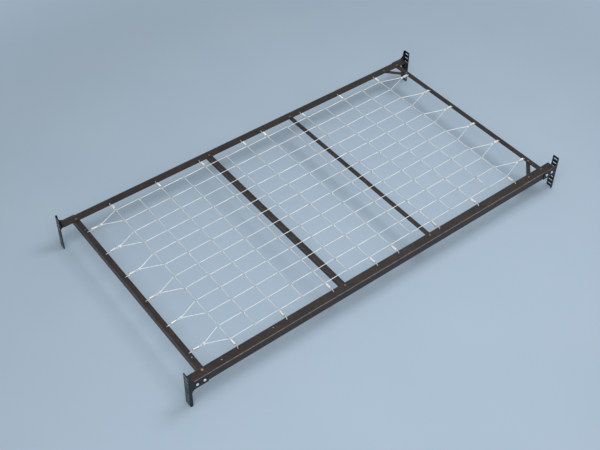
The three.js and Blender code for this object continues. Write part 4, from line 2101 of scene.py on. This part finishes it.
@dataclass
class Studio:
    """A pale floor, soft light from above and the camera of the photograph.

    Places and sizes are in metres, and the patterns of the floor's paper in millimetres.
    """

    floor_colour: int = 0xA3B6C7
    floor_reach: float = 40
    mottle: float = 420
    mottle_share: float = 0.05
    paper_grain: float = 3
    paper_relief: float = 0.05
    paper_rough: float = 0.95
    paper_gloss: float = 0.1
    lit_reach: float = 1.45
    world_light: float = 0.37
    broad_power: float = 90
    broad_size: float = 3
    broad_place: Triple = (-1.5, -1.9, 3.6)
    key_power: float = 48
    key_size: float = 1.6
    key_place: Triple = (1.2, -0.4, 3.35)
    lens: float = 59.756
    shift: Point = (0.025, -0.1)
    camera_place: Triple = (-1.9565, -2.3591, 3.089)
    camera_right: Triple = (0.79823, -0.60234, 0.00426)
    camera_down: Triple = (-0.40348, -0.53992, -0.73871)
    camera_forward: Triple = (0.44725, 0.58794, -0.67401)

    def backdrop(self) -> dict[str, Any]:
        """Inputs of a shader that shows the floor's colour as it is written."""
        return {"Color": (*from_hex(self.floor_colour), 1), "Strength": 1.0}

    def seen(self, desk: NodeDesk) -> Signal:
        """Tells a look at the backdrop from the light that it sends to the deck.

        Args:
            desk: Where the nodes go.

        Returns:
            1 for a ray from the camera, off a gloss or through a clear body, and 0 for others.
        """
        rays = desk.node("ShaderNodeLightPath").outputs
        kinds = ("Is Camera Ray", "Is Glossy Ray", "Is Transmission Ray")
        camera, gloss, clear = (Signal(desk, rays[kind]) for kind in kinds)
        return camera.at_least(gloss).at_least(clear)

    def floor(self) -> None:
        """Lays the floor."""
        mesh = bpy.data.meshes.new("floor")
        far = self.floor_reach
        corners = [(-far, -far, 0), (far, -far, 0), (far, far, 0), (-far, far, 0)]
        mesh.from_pydata(corners, [], [(0, 1, 2, 3)])
        floor = new_object("floor", mesh)
        made, desk = start_material("floor_paper")
        on = Surface.of(desk)
        mottle = on.cloud(self.mottle, 2) * self.mottle_share
        colour = desk.blend(mottle, from_hex(self.floor_colour), (1.0, 1.0, 1.0))
        rise = {"Height": on.cloud(self.paper_grain, 2), "Distance": self.paper_relief * MM}
        bump = desk.node("ShaderNodeBump", None, rise)
        paper = desk.node(
            "ShaderNodeBsdfPrincipled",
            None,
            {
                "Base Color": colour,
                "Roughness": self.paper_rough,
                "Specular IOR Level": self.paper_gloss,
                "Normal": bump.outputs[0],
            },
        )
        far_off = desk.node("ShaderNodeEmission", None, self.backdrop())
        share = self.seen(desk) * reach(on.x, on.y).eased(self.lit_reach, self.lit_reach * 2)
        both = desk.node(
            "ShaderNodeMixShader", None, {0: share, 1: paper.outputs[0], 2: far_off.outputs[0]}
        )
        desk.node("ShaderNodeOutputMaterial", None, {"Surface": both.outputs[0]})
        mesh.materials.append(made)

    def world(self) -> None:
        """Lights the scene evenly, with a pale backdrop where the camera or a gloss sees it."""
        world = bpy.data.worlds.new("studio")
        world.use_nodes = True
        bpy.context.scene.world = world
        desk = NodeDesk(world.node_tree)
        white = {"Color": (1, 1, 1, 1), "Strength": self.world_light}
        light = desk.node("ShaderNodeBackground", None, white)
        backdrop = desk.node("ShaderNodeBackground", None, self.backdrop())
        both = desk.node(
            "ShaderNodeMixShader",
            None,
            {0: self.seen(desk), 1: light.outputs[0], 2: backdrop.outputs[0]},
        )
        desk.node("ShaderNodeOutputWorld", None, {"Surface": both.outputs[0]})

    def lamp(self, name: str, power: float, size: float, place: Sequence[float]) -> None:
        """Hangs a soft lamp above the deck, facing its middle.

        Args:
            name: The lamp's name.
            power: Its power in watts.
            size: Its side in metres.
            place: Where it hangs, in metres.
        """
        light = bpy.data.lights.new(name, "AREA")
        light.shape = "SQUARE"
        light.size = size
        light.energy = power
        lamp = new_object(name, light)
        turn = (-Vector(place)).to_track_quat("-Z", "Y").to_matrix().to_4x4()
        lamp.matrix_world = Matrix.Translation(place) @ turn

    def camera(self) -> None:
        """Sets the camera as the photograph's edges give it."""
        lens = bpy.data.cameras.new("camera")
        lens.sensor_width = 36
        lens.lens = self.lens
        lens.shift_x, lens.shift_y = self.shift
        lens.clip_end = 100
        camera = new_object("camera", lens)
        right = Vector(self.camera_right)
        up = -Vector(self.camera_down)
        back = -Vector(self.camera_forward)
        turn = Matrix((right, up, back)).transposed().to_4x4()
        camera.matrix_world = Matrix.Translation(self.camera_place) @ turn
        bpy.context.scene.camera = camera

    def build(self) -> None:
        """Sets up the floor, the light and the camera."""
        bpy.context.scene.view_settings.view_transform = "Standard"
        self.floor()
        self.world()
        self.lamp("broad_light", self.broad_power, self.broad_size, self.broad_place)
        self.lamp("key_light", self.key_power, self.key_size, self.key_place)
        self.camera()


def main() -> None:
    """Builds the studio and then the deck, piece by piece."""
    logging.basicConfig(level=logging.INFO, format="%(message)s")
    Studio().build()
    wires = CopyTree("wires_on_plan", wire=True)
    solids = CopyTree("solids_on_plan", wire=False)
    rails = AngleFrame()
    rails.build()
    CornerBrackets().build()
    Fasteners().build(solids, rails)
    TensionSprings().build(wires)
    LinkFabric().build(wires)


if __name__ == "__main__":
    main()
